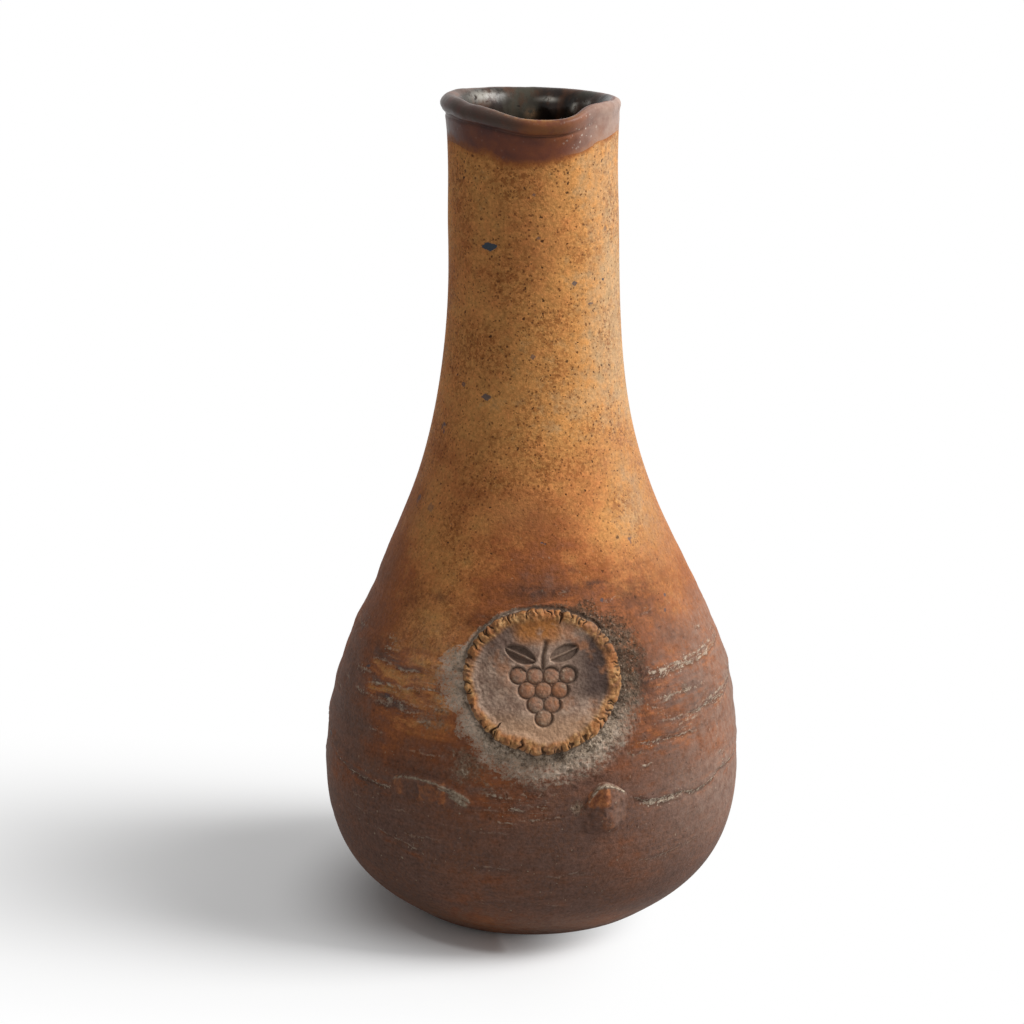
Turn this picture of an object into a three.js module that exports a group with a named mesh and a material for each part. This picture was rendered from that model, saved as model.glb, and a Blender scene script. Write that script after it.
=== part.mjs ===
// A wheel-thrown stoneware wine carafe of about a litre: a bottle form left bare outside, glazed inside and
// over the rim, with a pouring lip pulled into the rim and a clay medallion luted to the shoulder.
// Millimetres, +Z up. The origin is the middle of the foot, on the table. The front is -Y.
// Bearings are measured round the pot from the front, positive towards +X.

import * as THREE from 'three';

const DEGREE = Math.PI / 180;

// Outline of the thrown clay. The heights are stacked from the table up to the clay's rim.
const FOOT_RADIUS = 37.5;
const FOOT_BEVEL = 1.2;
const FOOT_FLARE = 40;            // degrees above level at which the wall leaves the foot
const FOOT_TO_BELLY = 45;
const BELLY_RADIUS = 64;
const BELLY_TO_SHOULDER = 30.5;
const SHOULDER_DRAW_IN = 4;       // how far the shoulder's turn lies inside the belly
const SHOULDER_LEAN = 19;         // degrees from upright at which the wall leaves that turn
const SHOULDER_TO_NECK = 135;
const NECK_RADIUS = 25.4;         // at its narrowest
const NECK_TO_RIM = 38.7;
const RIM_RADIUS = 26;
const RIM_FLARE = 3;              // degrees from upright at which the neck meets the rim's roll
const RIM_ROLL_RADIUS = 2.7;
const RIM_ROLL_PROUD = 0.9;       // how far the roll stands out from the neck below it

// Wall of the thrown clay
const FLOOR_THICKNESS = 8;
const BELLY_WALL = 6;
const NECK_WALL = 4.7;

// Pouring lip, pulled out and down with a finger
const LIP_BEARING = 10;           // degrees
const LIP_HALF_WIDTH = 24;        // degrees, where the pull has fallen to half
const LIP_LENGTH = 20;            // how far down the neck the pull reaches
const LIP_REACH = 4.5;
const LIP_DROP = 2.9;

// Glaze
const SEAT_GAP = 0.3;             // clearance between pieces that lie on each other
const LINER_THICKNESS = 0.5;
const RIM_GLAZE_THICKNESS = 0.5;
const RIM_GLAZE_INSIDE = 6;       // how far the rim's glaze reaches down inside
const RIM_GLAZE_OUTSIDE = 12.5;   // and outside
const RIM_GLAZE_RUN = 3;          // how much further it has run down at its lowest
const RIM_GLAZE_RUN_BEARING = -8; // degrees

// Medallion, and the slip that it is luted on with
const MEDALLION_BEARING = 2.5;    // degrees
const MEDALLION_CENTRE = 87.5;    // height above the table
const MEDALLION_WIDTH = 47;
const MEDALLION_TALL = 43;
const MEDALLION_FACE = 0.9;       // thickness of its sunken face
const MEDALLION_BORDER_RISE = 1.6;
const MEDALLION_BORDER_WIDTH = 4.6;
const BORDER_CRIMPS = 26;
const CRIMP_DEPTH = 0.6;
const SLIP_THICKNESS = 0.5;
const SLIP_MARGIN = 5;            // how far the slip shows round the medallion
const SLIP_EDGE = 0.2;            // thickness that it thins out to
const SLIP_RAGGEDNESS = 1.2;

// Two dabs of clay stuck to the belly
const RIGHT_DAB = { bearing: 19.6, height: 49.5, wide: 14, tall: 15, rise: 3.2, edge: 0.8 };
const LEFT_DAB = { bearing: -28, height: 53.5, wide: 30, tall: 10.5, rise: 1.6, edge: 0.5 };

// Fineness of the facets
const TURN_STEPS = 46;
const ROLL_STEPS = 7;
const NECK_GLAZE_STEPS = 4;
const SLIP_SPOKES = 40;
const DAB_SPOKES = 24;
const SPOKES_PER_CRIMP = 3;

const bellyHeight = FOOT_TO_BELLY;
const shoulderHeight = bellyHeight + BELLY_TO_SHOULDER;
const neckHeight = shoulderHeight + SHOULDER_TO_NECK;
const rimHeight = neckHeight + NECK_TO_RIM;
const rollHeight = rimHeight - RIM_ROLL_RADIUS;
const rollMiddle = RIM_RADIUS - RIM_ROLL_RADIUS;

// A curve between two points of the outline, leaving and arriving at the given angles above level.
// The pulls are how far the handles reach, as shares of the rise between the points.
function sweep(from, leaveAngle, leavePull, to, arriveAngle, arrivePull) {
  const rise = to.y - from.y;
  const along = (angle, reach) => new THREE.Vector2(Math.cos(angle * DEGREE), Math.sin(angle * DEGREE))
    .multiplyScalar(reach * rise);
  return new THREE.CubicBezierCurve(
    from,
    from.clone().add(along(leaveAngle, leavePull)),
    to.clone().sub(along(arriveAngle, arrivePull)),
    to,
  );
}

// The wall above the belly, drawn in by a wall thickness that changes from the belly to the neck
function upperWall(bellyInset, neckInset, rimPoint, rimAngle) {
  const belly = new THREE.Vector2(BELLY_RADIUS - bellyInset, bellyHeight);
  const shoulder = new THREE.Vector2(BELLY_RADIUS - SHOULDER_DRAW_IN - bellyInset, shoulderHeight);
  const neck = new THREE.Vector2(NECK_RADIUS - neckInset, neckHeight);
  const leanAngle = 90 + SHOULDER_LEAN;
  return [
    sweep(belly, 90, 0.17, shoulder, leanAngle, 0.22),
    sweep(shoulder, leanAngle, 0.39, neck, 90, 0.59),
    sweep(neck, 90, 0.41, rimPoint, rimAngle, 0.5),
  ];
}

function pointsAlong(curves, counts) {
  const points = curves.flatMap((curve, index) => curve.getPoints(counts[index]).slice(0, -1));
  points.push(curves.at(-1).getPoint(1));
  return points;
}

// The round top of the rim, from the crease under the roll to the bore, with roll and neck grown by a margin
function rollArc(margin, steps) {
  const grown = RIM_ROLL_RADIUS + margin;
  const crease = -Math.acos((grown - RIM_ROLL_PROUD) / grown);
  return new THREE.EllipseCurve(rollMiddle, rollHeight, grown, grown, crease, Math.PI).getPoints(steps);
}

// The outside, from the foot's edge up to the roll of the rim
const footEdge = new THREE.Vector2(FOOT_RADIUS, 0);
const underRoll = rollArc(0, ROLL_STEPS)[0];
const outsideCurves = [
  sweep(footEdge, FOOT_FLARE, 0.26, new THREE.Vector2(BELLY_RADIUS, bellyHeight), 90, 0.715),
  ...upperWall(0, 0, underRoll, 90 - RIM_FLARE),
];
const outsideSteps = [7, 3, 8, 10];

// The inside, from the middle of the floor up to the roll's inner side
const floorMiddle = new THREE.Vector2(0, FLOOR_THICKNESS);
const boreBelly = new THREE.Vector2(BELLY_RADIUS - BELLY_WALL, bellyHeight);
const boreRim = new THREE.Vector2(rollMiddle - RIM_ROLL_RADIUS, rollHeight);
const floorCurve = new THREE.CubicBezierCurve(
  floorMiddle,
  floorMiddle.clone().lerp(new THREE.Vector2(boreBelly.x, FLOOR_THICKNESS), 0.82),
  boreBelly.clone().lerp(new THREE.Vector2(boreBelly.x, FLOOR_THICKNESS), 0.68),
  boreBelly,
);
const boreCurves = [floorCurve, ...upperWall(BELLY_WALL, NECK_WALL, boreRim, 90)];
const boreSteps = [6, 2, 5, 8];
const bore = pointsAlong(boreCurves, boreSteps);

// Radius of the bore at a height above the floor, between its points
function boreAt(height) {
  const above = bore.findIndex((point) => point.y >= height);
  const [low, high] = [bore[above - 1], bore[above]];
  return THREE.MathUtils.mapLinear(height, low.y, high.y, low.x, high.x);
}

// The bore has a point where the liner gives way to the rim's glaze, so that all three bend alike there
const glazeSplit = rimHeight - RIM_GLAZE_INSIDE;
bore.push(new THREE.Vector2(boreAt(glazeSplit), glazeSplit));
bore.sort((one, other) => one.y - other.y);

// Shifts a run of profile points to its left, square to the run
function shifted(points, distance) {
  return points.map((point, index) => {
    const ahead = points[Math.min(index + 1, points.length - 1)];
    const behind = points[Math.max(index - 1, 0)];
    const along = ahead.clone().sub(behind).normalize();
    const left = index === 0 && point.x === 0 ? new THREE.Vector2(0, 1) : new THREE.Vector2(-along.y, along.x);
    return point.clone().addScaledVector(left, distance);
  });
}

// Radius and lean of the outside at a height, found on its curves
function wallAt(height) {
  const curve = outsideCurves.find((candidate) => candidate.v3.y >= height) ?? outsideCurves.at(-1);
  let low = 0;
  let high = 1;
  for (let halving = 0; halving < 40; halving += 1) {
    const middle = (low + high) / 2;
    if (curve.getPoint(middle).y < height) low = middle;
    else high = middle;
  }
  const along = curve.getTangent(low);
  return { radius: curve.getPoint(low).x, lean: Math.atan2(-along.x, along.y) };
}

const bearingOf = (x, y) => Math.atan2(x, -y);

// Pulls the lip: near its bearing the top of the neck curls outwards and sinks, fading round the rim and down
// the neck
function pullLip(geometry) {
  const position = geometry.getAttribute('position');
  const point = new THREE.Vector3();
  for (let index = 0; index < position.count; index += 1) {
    point.fromBufferAttribute(position, index);
    const offBearing = bearingOf(point.x, point.y) / DEGREE - LIP_BEARING;
    const round = THREE.MathUtils.euclideanModulo(offBearing + 180, 360) - 180;
    const across = 0.5 ** (Math.abs(round / LIP_HALF_WIDTH) ** 3);
    const upLip = Math.max(0, 1 - (rimHeight - point.z) / LIP_LENGTH);
    const drop = across * LIP_DROP * THREE.MathUtils.smoothstep(upLip, 0, 1);
    const radius = Math.hypot(point.x, point.y);
    const stretch = radius > 0 ? 1 + (across * LIP_REACH * upLip ** 2) / radius : 1;
    position.setXYZ(index, point.x * stretch, point.y * stretch, point.z - drop);
  }
  return geometry;
}

// Turns a profile of (radius, height) points about the upright axis, with its first facet edge at the front
function turned(profile) {
  return new THREE.LatheGeometry(profile, TURN_STEPS).rotateX(Math.PI / 2);
}

// A pad pressed onto the outside of the wall, made in rings about its middle. Sizes are measured along the wall.
// reach(turn) is its edge, rings are shares of that reach, top(share, turn) is its height above the wall, and
// underside is the height of its back.
function wallPad({ bearing, height, reach, rings, top, underside, spokes }) {
  const middle = wallAt(height);
  const backRings = [1, 0.75, 0.5, 0.25, 0];
  const rows = [
    ...rings.map((share) => ({ share, lift: (turn) => top(share, turn) })),
    ...backRings.map((share) => ({ share, lift: () => underside })),
  ];
  const corners = rows.flatMap(({ share, lift }) => Array.from({ length: spokes }, (_, spoke) => {
    const turn = (2 * Math.PI * spoke) / spokes;
    const distance = share * reach(turn);
    const level = height + distance * Math.sin(turn) * Math.cos(middle.lean);
    const wall = wallAt(level);
    const angle = bearing * DEGREE + (distance * Math.cos(turn)) / middle.radius;
    const radius = wall.radius + lift(turn) * Math.cos(wall.lean);
    return [radius * Math.sin(angle), -radius * Math.cos(angle), level + lift(turn) * Math.sin(wall.lean)];
  }));
  const faces = [];
  for (let row = 0; row < rows.length - 1; row += 1) {
    for (let spoke = 0; spoke < spokes; spoke += 1) {
      const next = (spoke + 1) % spokes;
      const [here, there] = [row * spokes, (row + 1) * spokes];
      if (rows[row].share > 0) faces.push(here + spoke, there + next, here + next);
      if (rows[row + 1].share > 0) faces.push(here + spoke, there + spoke, there + next);
    }
  }
  const geometry = new THREE.BufferGeometry();
  geometry.setAttribute('position', new THREE.Float32BufferAttribute(corners.flat(), 3));
  geometry.setIndex(faces);
  return geometry;
}

const oval = (wide, tall) => (turn) => 1 / Math.hypot((2 / wide) * Math.cos(turn), (2 / tall) * Math.sin(turn));

function thrownBody() {
  const foot = [
    new THREE.Vector2(0, 0),
    new THREE.Vector2(FOOT_RADIUS - FOOT_BEVEL, 0),
  ];
  const outside = pointsAlong(outsideCurves, outsideSteps);
  outside[0] = outsideCurves[0].getPointAt(FOOT_BEVEL / outsideCurves[0].getLength());
  const profile = [...foot, ...outside, ...rollArc(0, ROLL_STEPS).slice(1, -1), ...bore.toReversed()];
  return pullLip(turned(profile));
}

// The liner covers the floor and the bore up to where the rim's glaze begins
function linerGlaze() {
  const top = glazeSplit - SEAT_GAP;
  const covered = bore.filter((point) => point.y < top);
  covered.push(new THREE.Vector2(boreAt(top), top));
  const onClay = shifted(covered, SEAT_GAP);
  const face = shifted(covered, SEAT_GAP + LINER_THICKNESS);
  return pullLip(turned([...onClay, ...face.toReversed()]));
}

// The rim's glaze goes over the roll. Outside, its lower edge has run further on one side.
function rimGlaze() {
  const inner = SEAT_GAP;
  const outer = SEAT_GAP + RIM_GLAZE_THICKNESS;
  const outsideEnd = rimHeight - RIM_GLAZE_OUTSIDE;
  const skin = (margin) => {
    const overRoll = rollArc(margin, ROLL_STEPS);
    const onNeck = Array.from({ length: NECK_GLAZE_STEPS }, (_, step) => {
      const height = THREE.MathUtils.lerp(outsideEnd, overRoll[0].y, step / NECK_GLAZE_STEPS);
      return new THREE.Vector2(wallAt(height).radius + margin, height);
    });
    return [...onNeck, ...overRoll, new THREE.Vector2(boreAt(glazeSplit) - margin, glazeSplit)];
  };
  const outside = skin(outer);
  const geometry = turned([...outside, ...skin(inner).toReversed(), outside[0]]);
  const position = geometry.getAttribute('position');
  for (let index = 0; index < position.count; index += 1) {
    const [x, y, z] = [position.getX(index), position.getY(index), position.getZ(index)];
    const radius = Math.hypot(x, y);
    if (radius < rollMiddle || z > underRoll.y) continue;
    const run = RIM_GLAZE_RUN * Math.cos(bearingOf(x, y) - RIM_GLAZE_RUN_BEARING * DEGREE);
    const lower = z - (run * (underRoll.y - z)) / (underRoll.y - outsideEnd);
    const stretch = (radius + wallAt(lower).radius - wallAt(z).radius) / radius;
    position.setXYZ(index, x * stretch, y * stretch, lower);
  }
  return pullLip(geometry);
}

function slipBed() {
  const edge = oval(MEDALLION_WIDTH + 2 * SLIP_MARGIN, MEDALLION_TALL + 2 * SLIP_MARGIN);
  const ragged = (turn) => SLIP_RAGGEDNESS * (Math.sin(3 * turn + 1) + 0.5 * Math.sin(7 * turn));
  return wallPad({
    bearing: MEDALLION_BEARING,
    height: MEDALLION_CENTRE,
    reach: (turn) => edge(turn) + ragged(turn),
    rings: [0, 0.25, 0.5, 0.75, 0.9, 1],
    top: (share) => SEAT_GAP + THREE.MathUtils.lerp(SLIP_THICKNESS, SLIP_EDGE, share ** 6),
    underside: SEAT_GAP,
    spokes: SLIP_SPOKES,
  });
}

// The medallion's border is a round bead of clay, crimped at even steps
function medallion() {
  const edge = oval(MEDALLION_WIDTH, MEDALLION_TALL);
  const underside = SEAT_GAP + SLIP_THICKNESS + SEAT_GAP;
  const face = underside + MEDALLION_FACE;
  const borderShare = (2 * MEDALLION_BORDER_WIDTH) / Math.min(MEDALLION_WIDTH, MEDALLION_TALL);
  const faceRings = [0, 1 / 3, 2 / 3].map((step) => (1 - borderShare) * step);
  const borderRings = [0, 0.15, 0.4, 0.65, 0.88, 1].map((step) => 1 - borderShare * (1 - step));
  return wallPad({
    bearing: MEDALLION_BEARING,
    height: MEDALLION_CENTRE,
    reach: edge,
    rings: [...faceRings, ...borderRings],
    top: (share, turn) => {
      const step = (share - 1) / borderShare + 1;
      if (step <= 0) return face;
      const bead = Math.sqrt(1 - (2 * step - 1) ** 2);
      const crimp = CRIMP_DEPTH * Math.cos((BORDER_CRIMPS * turn) / 2) ** 8;
      return face + bead * (MEDALLION_BORDER_RISE - crimp);
    },
    underside,
    spokes: BORDER_CRIMPS * SPOKES_PER_CRIMP,
  });
}

function clayDab({ bearing, height, wide, tall, rise, edge }) {
  return wallPad({
    bearing,
    height,
    reach: oval(wide, tall),
    rings: [0, 0.35, 0.65, 0.88, 1],
    top: (share) => SEAT_GAP + edge + (rise - edge) * Math.sqrt(1 - share ** 2),
    underside: SEAT_GAP,
    spokes: DAB_SPOKES,
  });
}

const bareClay = new THREE.MeshStandardMaterial({ color: 0xa8713a, roughness: 0.85, metalness: 0 });
const linerBrown = new THREE.MeshStandardMaterial({ color: 0x2e211a, roughness: 0.25, metalness: 0 });
const rimBrown = new THREE.MeshStandardMaterial({ color: 0x4d2d1f, roughness: 0.45, metalness: 0 });
const medallionClay = new THREE.MeshStandardMaterial({ color: 0x9a6a35, roughness: 0.8, metalness: 0 });
const ashSlip = new THREE.MeshStandardMaterial({ color: 0x6b5f4c, roughness: 0.95, metalness: 0 });
const dabClay = new THREE.MeshStandardMaterial({ color: 0x7c4626, roughness: 0.85, metalness: 0 });

const carafe = new THREE.Group();

function addPiece(name, geometry, material) {
  const piece = new THREE.Mesh(geometry, material);
  piece.name = name;
  carafe.add(piece);
}

addPiece('thrown_body', thrownBody(), bareClay);
addPiece('liner_glaze', linerGlaze(), linerBrown);
addPiece('rim_glaze', rimGlaze(), rimBrown);
addPiece('slip_bed', slipBed(), ashSlip);
addPiece('medallion', medallion(), medallionClay);
addPiece('clay_dab_right', clayDab(RIGHT_DAB), dabClay);
addPiece('clay_dab_left', clayDab(LEFT_DAB), dabClay);

export default carafe;
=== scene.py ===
import math

import bpy
import numpy as np
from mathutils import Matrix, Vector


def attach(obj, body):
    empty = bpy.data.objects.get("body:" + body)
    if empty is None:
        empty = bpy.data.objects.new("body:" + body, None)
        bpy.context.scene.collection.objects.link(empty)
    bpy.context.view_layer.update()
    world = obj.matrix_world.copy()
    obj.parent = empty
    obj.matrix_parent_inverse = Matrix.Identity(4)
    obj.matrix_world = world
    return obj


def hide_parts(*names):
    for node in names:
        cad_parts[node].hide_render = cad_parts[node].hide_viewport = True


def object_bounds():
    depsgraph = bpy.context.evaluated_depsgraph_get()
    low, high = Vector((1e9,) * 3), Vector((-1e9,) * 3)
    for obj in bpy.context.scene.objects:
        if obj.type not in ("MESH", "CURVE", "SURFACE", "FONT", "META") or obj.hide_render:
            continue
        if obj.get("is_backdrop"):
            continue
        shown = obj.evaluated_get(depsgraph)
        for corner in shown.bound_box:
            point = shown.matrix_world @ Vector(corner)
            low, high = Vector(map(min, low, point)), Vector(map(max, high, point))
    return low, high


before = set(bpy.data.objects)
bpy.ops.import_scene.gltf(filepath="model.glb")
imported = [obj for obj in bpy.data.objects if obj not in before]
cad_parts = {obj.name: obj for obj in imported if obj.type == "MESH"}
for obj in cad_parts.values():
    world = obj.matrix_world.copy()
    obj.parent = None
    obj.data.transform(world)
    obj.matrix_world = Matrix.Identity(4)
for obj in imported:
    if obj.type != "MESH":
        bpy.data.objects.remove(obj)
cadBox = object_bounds()
print("frame loaded:", ", ".join(sorted(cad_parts)))

# Shapes are worked out in millimetres, with bearings in degrees round the pot from the front,
# positive towards +X. Meshes are written in metres.
millimetre = 0.001


# Numbers over a surface

# 0 below low, 1 above high, and 3t^2 - 2t^3 between them
def smooth(value, low=0.0, high=1.0):
    t = np.clip((value - low) / (high - low), 0, 1)
    return t * t * (3 - 2 * t)


# A step up from low to full, and another down from fade to end
def within(value, low, full, fade, end):
    return smooth(value, low, full) * smooth(value, end, fade)


# Bell curve: 1 at 0, falling as exp(-(distance / width)^2)
def bell(distance, width):
    return np.exp(-np.square(distance / width))


# Turns any bearing into the one from -180 to 180
def around(bearing):
    return (bearing + 180) % 360 - 180


# Value between knots of (place, value), eased by a smoothstep so that the line has no corners
def eased(place, knots):
    places, values = np.array(knots, float).T
    i = np.clip(np.searchsorted(places, place, side="right") - 1, 0, len(places) - 2)
    t = smooth(place, places[i], places[i + 1])
    return values[i] + (values[i + 1] - values[i]) * t


# Smooth line through knots of (place, value): cubic between them, with the slopes of their neighbours
def curved(place, knots):
    places, values = np.array(knots, float).T
    slopes = np.gradient(values, places)
    place = np.clip(place, places[0], places[-1])
    i = np.clip(np.searchsorted(places, place, side="right") - 1, 0, len(places) - 2)
    gap = places[i + 1] - places[i]
    t = (place - places[i]) / gap
    bend = slopes[i] * gap * (1 - t) - slopes[i + 1] * gap * t - (values[i + 1] - values[i]) * (1 - 2 * t)
    return values[i] + (values[i + 1] - values[i]) * t + t * (1 - t) * bend


# Value noise: seeded heights on a lattice that repeats after `turn` cells in u, blended by a
# smoothstep inside each cell. The result lies between -1 and 1.
def cellNoise(u, v, turn, seed):
    lattice = np.random.default_rng(seed).uniform(-1, 1, (turn, 256))
    i, j = np.floor(u).astype(int), np.floor(v).astype(int)
    s, t = smooth(u - i), smooth(v - j)
    corner = lambda di, dj: lattice[(i + di) % turn, (j + dj) % 256]
    low = corner(0, 0) * (1 - s) + corner(1, 0) * s
    high = corner(0, 1) * (1 - s) + corner(1, 1) * s
    return low * (1 - t) + high * t


# Noise on the wall: `turn` cells round the pot, cells `tall` mm high, each octave half as big
def wallNoise(bearing, height, turn, tall, seed, octaves=1):
    total = 0
    for octave in range(octaves):
        scale = 2 ** octave
        u = bearing / 360 * turn * scale
        total = total + cellNoise(u, height / tall * scale, turn * scale, seed + octave) / scale
    return total / (2 - 2.0 ** (1 - octaves))


# Noise on a pad: cells `size` mm across, from its flat coordinates
def padNoise(u, v, size, seed):
    return cellNoise(u / size + 100, v / size + 100, 256, seed)


# Noise round a pad, with `cells` cells in a turn
def turnNoise(turn, cells, seed):
    return cellNoise(turn / 360 * cells, 0.5 + 0 * turn, cells, seed)


# Sum of bell-shaped patches of (bearing, height, half-width, half-height, amount)
def patches(bearing, height, places):
    return sum(amount * bell(around(bearing - place), wide) * bell(height - level, tall)
               for place, level, wide, tall, amount in places)


# The pot's section and how it stands

pot = {
    "footRadius": 37.5, "footBevel": 1.2, "footFlare": 40,
    "bellyRadius": 64, "bellyHeight": 45,
    "shoulderRadius": 60, "shoulderHeight": 75.5, "shoulderLean": 19,
    "neckRadius": 25.4, "neckHeight": 210.5,
    "rimRadius": 26.1, "rimHeight": 249.4, "rimFlare": 3,
    "rollRadius": 1.9, "rollProud": 0.45,
    "innerWide": 3.5, "innerTall": 6.5,       # the rim's inner edge is a quarter of an oval
    "floorThickness": 8, "bellyWall": 6, "neckWall": 4.7,
    "sectionStep": 0.25,          # spacing of the section's table
    "creaseSoftness": 0.7,        # how far its corners are rounded
    "ringRise": 0.10, "ringPitch": 8.5, "swell": 0.25,        # throwing rings and slow swells, in mm
    # dents and bulges of the wall, as (bearing, height, half-width in degrees, half-height and rise in mm)
    "dents": [(-84, 100, 30, 7, -1.0), (-84, 88, 34, 7, 0.2), (85, 92, 28, 12, 0.3)],
    # how far the turned form leans off its axis, as (height, mm to the right)
    "drift": [(0, 0), (46, -0.2), (82, 0.8), (105, 0.5), (128, 0), (150, -0.1), (200, 0.45), (250, 0.2)],
}

lip = {
    "bearing": 7.5, "halfWidth": 24, "leftEase": 2.6, "rightEase": 3.3,
    "length": 20, "reach": 4.5, "drop": 2.9,
    # how much prouder the rolled rim is than the section, as (bearing, mm)
    "bead": [(-180, 0.1), (-100, 0.8), (-35, 0.7), (5, 0.2), (45, -0.35), (95, -0.45), (150, -0.2),
             (180, 0.1)],
    "beadHeight": 247.0, "beadSpread": 2.0, "beadRadii": (23.2, 25.4),
    # how much higher the rim stands than a level one, as (bearing, mm)
    "sway": [(-180, 0.2), (-145, 0.6), (-110, 1.3), (-66, 1.2), (-46, 0.15), (-28, -0.3), (0, 0),
             (50, 0.3), (80, 0.15), (110, -0.1), (135, -0.15), (160, 0.1), (180, 0.2)],
}


# Cubic Bezier from its four points
def bezier(start, first, second, end):
    t = np.linspace(0, 1, 120)[:, None]
    return (1 - t) ** 3 * start + 3 * (1 - t) ** 2 * t * first + 3 * (1 - t) * t ** 2 * second + t ** 3 * end


# A curve between two (radius, height) points. Its handles leave and arrive at angles above
# level, and are as long as a share of the rise between the points.
def sweep(start, leave, leavePull, end, arrive, arrivePull):
    start, end = np.array(start, float), np.array(end, float)
    rise = end[1] - start[1]
    heading = lambda angle: rise * np.array([np.cos(np.radians(angle)), np.sin(np.radians(angle))])
    return bezier(start, start + leavePull * heading(leave), end - arrivePull * heading(arrive), end)


# The wall above the belly, drawn in by the thickness of the clay
def upperWall(bellyInset, neckInset, rimPoint, rimAngle):
    belly = (pot["bellyRadius"] - bellyInset, pot["bellyHeight"])
    shoulder = (pot["shoulderRadius"] - bellyInset, pot["shoulderHeight"])
    neck = (pot["neckRadius"] - neckInset, pot["neckHeight"])
    lean = 90 + pot["shoulderLean"]
    return [
        sweep(belly, 90, 0.17, shoulder, lean, 0.22),
        sweep(shoulder, lean, 0.39, neck, 90, 0.59),
        sweep(neck, 90, 0.41, rimPoint, rimAngle, 0.5),
    ]


# The whole section as a table over its own length s: from the middle of the foot out, up the wall,
# over the rim and down the bore to the middle of the floor. The normal is the tangent turned right.
def sectionTable():
    rollX = pot["rimRadius"] - pot["rollRadius"]
    crease = -np.arccos(1 - pot["rollProud"] / pot["rollRadius"])
    turn = np.linspace(crease, np.pi, 90)
    outer = turn < np.pi / 2
    wide = np.where(outer, pot["rollRadius"], pot["innerWide"])
    tall = np.where(outer, pot["rollRadius"], pot["innerTall"])
    roll = np.stack([rollX + wide * np.cos(turn), pot["rimHeight"] - tall + tall * np.sin(turn)], 1)
    belly = (pot["bellyRadius"], pot["bellyHeight"])
    flare = sweep((pot["footRadius"], 0), pot["footFlare"], 0.26, belly, 90, 0.715)
    flare = flare[flare[:, 1] > pot["footBevel"]]
    floorEdge = np.array([pot["bellyRadius"] - pot["bellyWall"], pot["floorThickness"]])
    boreBelly = floorEdge + (0, pot["bellyHeight"] - pot["floorThickness"])
    middle = np.array([0, pot["floorThickness"]])
    floorHandle = middle + 0.82 * (floorEdge - middle)
    wallHandle = boreBelly + 0.68 * (floorEdge - boreBelly)
    floor = bezier(middle, floorHandle, wallHandle, boreBelly)
    bore = np.concatenate([floor] + upperWall(pot["bellyWall"], pot["neckWall"], roll[-1], 90))
    foot = np.array([(0, 0), (pot["footRadius"] - pot["footBevel"], 0)])
    wall = upperWall(0, 0, roll[0], 90 - pot["rimFlare"])
    line = np.concatenate([foot, flare] + wall + [roll, bore[::-1]])
    line = line[np.concatenate([[True], np.hypot(*np.diff(line, axis=0).T) > 1e-6])]
    length = np.concatenate([[0], np.cumsum(np.hypot(*np.diff(line, axis=0).T))])
    s = np.arange(0, length[-1], pot["sectionStep"])
    r, z = np.interp(s, length, line[:, 0]), np.interp(s, length, line[:, 1])
    reach = int(4 * pot["creaseSoftness"] / pot["sectionStep"])
    kernel = bell(np.arange(-reach, reach + 1) * pot["sectionStep"], pot["creaseSoftness"] * math.sqrt(2))
    padded = lambda values: np.pad(values, reach, "reflect", reflect_type="odd")
    soften = lambda values: np.convolve(padded(values), kernel / kernel.sum(), "valid")
    r, z = np.maximum(soften(r), 0), soften(z)
    z[s < pot["footRadius"] - 4] = 0
    along = np.hypot(np.gradient(r), np.gradient(z))
    return {"s": s, "r": r, "z": z, "normalR": np.gradient(z) / along, "normalZ": -np.gradient(r) / along}


section = sectionTable()
crestS = section["s"][np.argmax(section["z"])]
endS = section["s"][-1]
outside = (section["s"] > pot["footRadius"] - 3) & (section["s"] <= crestS)


# Length along the section at which the outside reaches a height
def outsideS(height):
    return np.interp(height, section["z"][outside], section["s"][outside])


def heightAt(s):
    return np.interp(s, section["s"], section["z"])


def radiusAt(s):
    return np.interp(s, section["s"], section["r"])


# Share of the lip's pull at a bearing: 0.5^(|off / halfWidth|^ease), steeper on the right
def lipShare(bearing):
    off = around(bearing - lip["bearing"]) / lip["halfWidth"]
    return 0.5 ** (np.abs(off) ** np.where(off < 0, lip["leftEase"], lip["rightEase"]))


# A point of the turned form, put where the finished pot has it: the lip curls out and sinks towards
# the top, the rolled rim is proud on one side, the rim sways, and the axis drifts.
def settled(bearing, r, z):
    upLip = np.clip(1 - (pot["rimHeight"] - z) / lip["length"], 0, 1.05)
    share = lipShare(bearing)
    onRoll = bell(z - lip["beadHeight"], lip["beadSpread"]) * smooth(r, *lip["beadRadii"])
    r = r + share * lip["reach"] * upLip ** 2 + onRoll * eased(bearing, lip["bead"])
    lifted = z - share * lip["drop"] * smooth(upLip) + eased(bearing, lip["sway"]) * smooth(upLip)
    turn = np.radians(bearing)
    return np.stack([r * np.sin(turn) + eased(z, pot["drift"]), -r * np.cos(turn), lifted], -1)


# Unevenness of the thrown wall in mm, outwards: throwing rings, slow swells and a few dents
def wallSwell(bearing, height):
    spiral = np.sin(2 * np.pi * (height / pot["ringPitch"] + bearing / 360))
    rings = pot["ringRise"] * spiral * within(height, 30, 60, 90, 130)
    slow = pot["swell"] * wallNoise(bearing, height, 5, 46, 11)
    firm = within(height, 2, 14, 205, 226)
    return (rings + slow + patches(bearing, height, pot["dents"])) * firm


# A point on the wall: along the section, and lifted off it along the normal
def onWall(bearing, s, lift):
    r = radiusAt(s) + lift * np.interp(s, section["s"], section["normalR"])
    z = heightAt(s) + lift * np.interp(s, section["s"], section["normalZ"])
    return settled(bearing, np.maximum(r, 0), z)


# Grids to meshes

def addObject(name, data):
    made = bpy.data.objects.new(name, data)
    bpy.context.scene.collection.objects.link(made)
    return made


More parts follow.
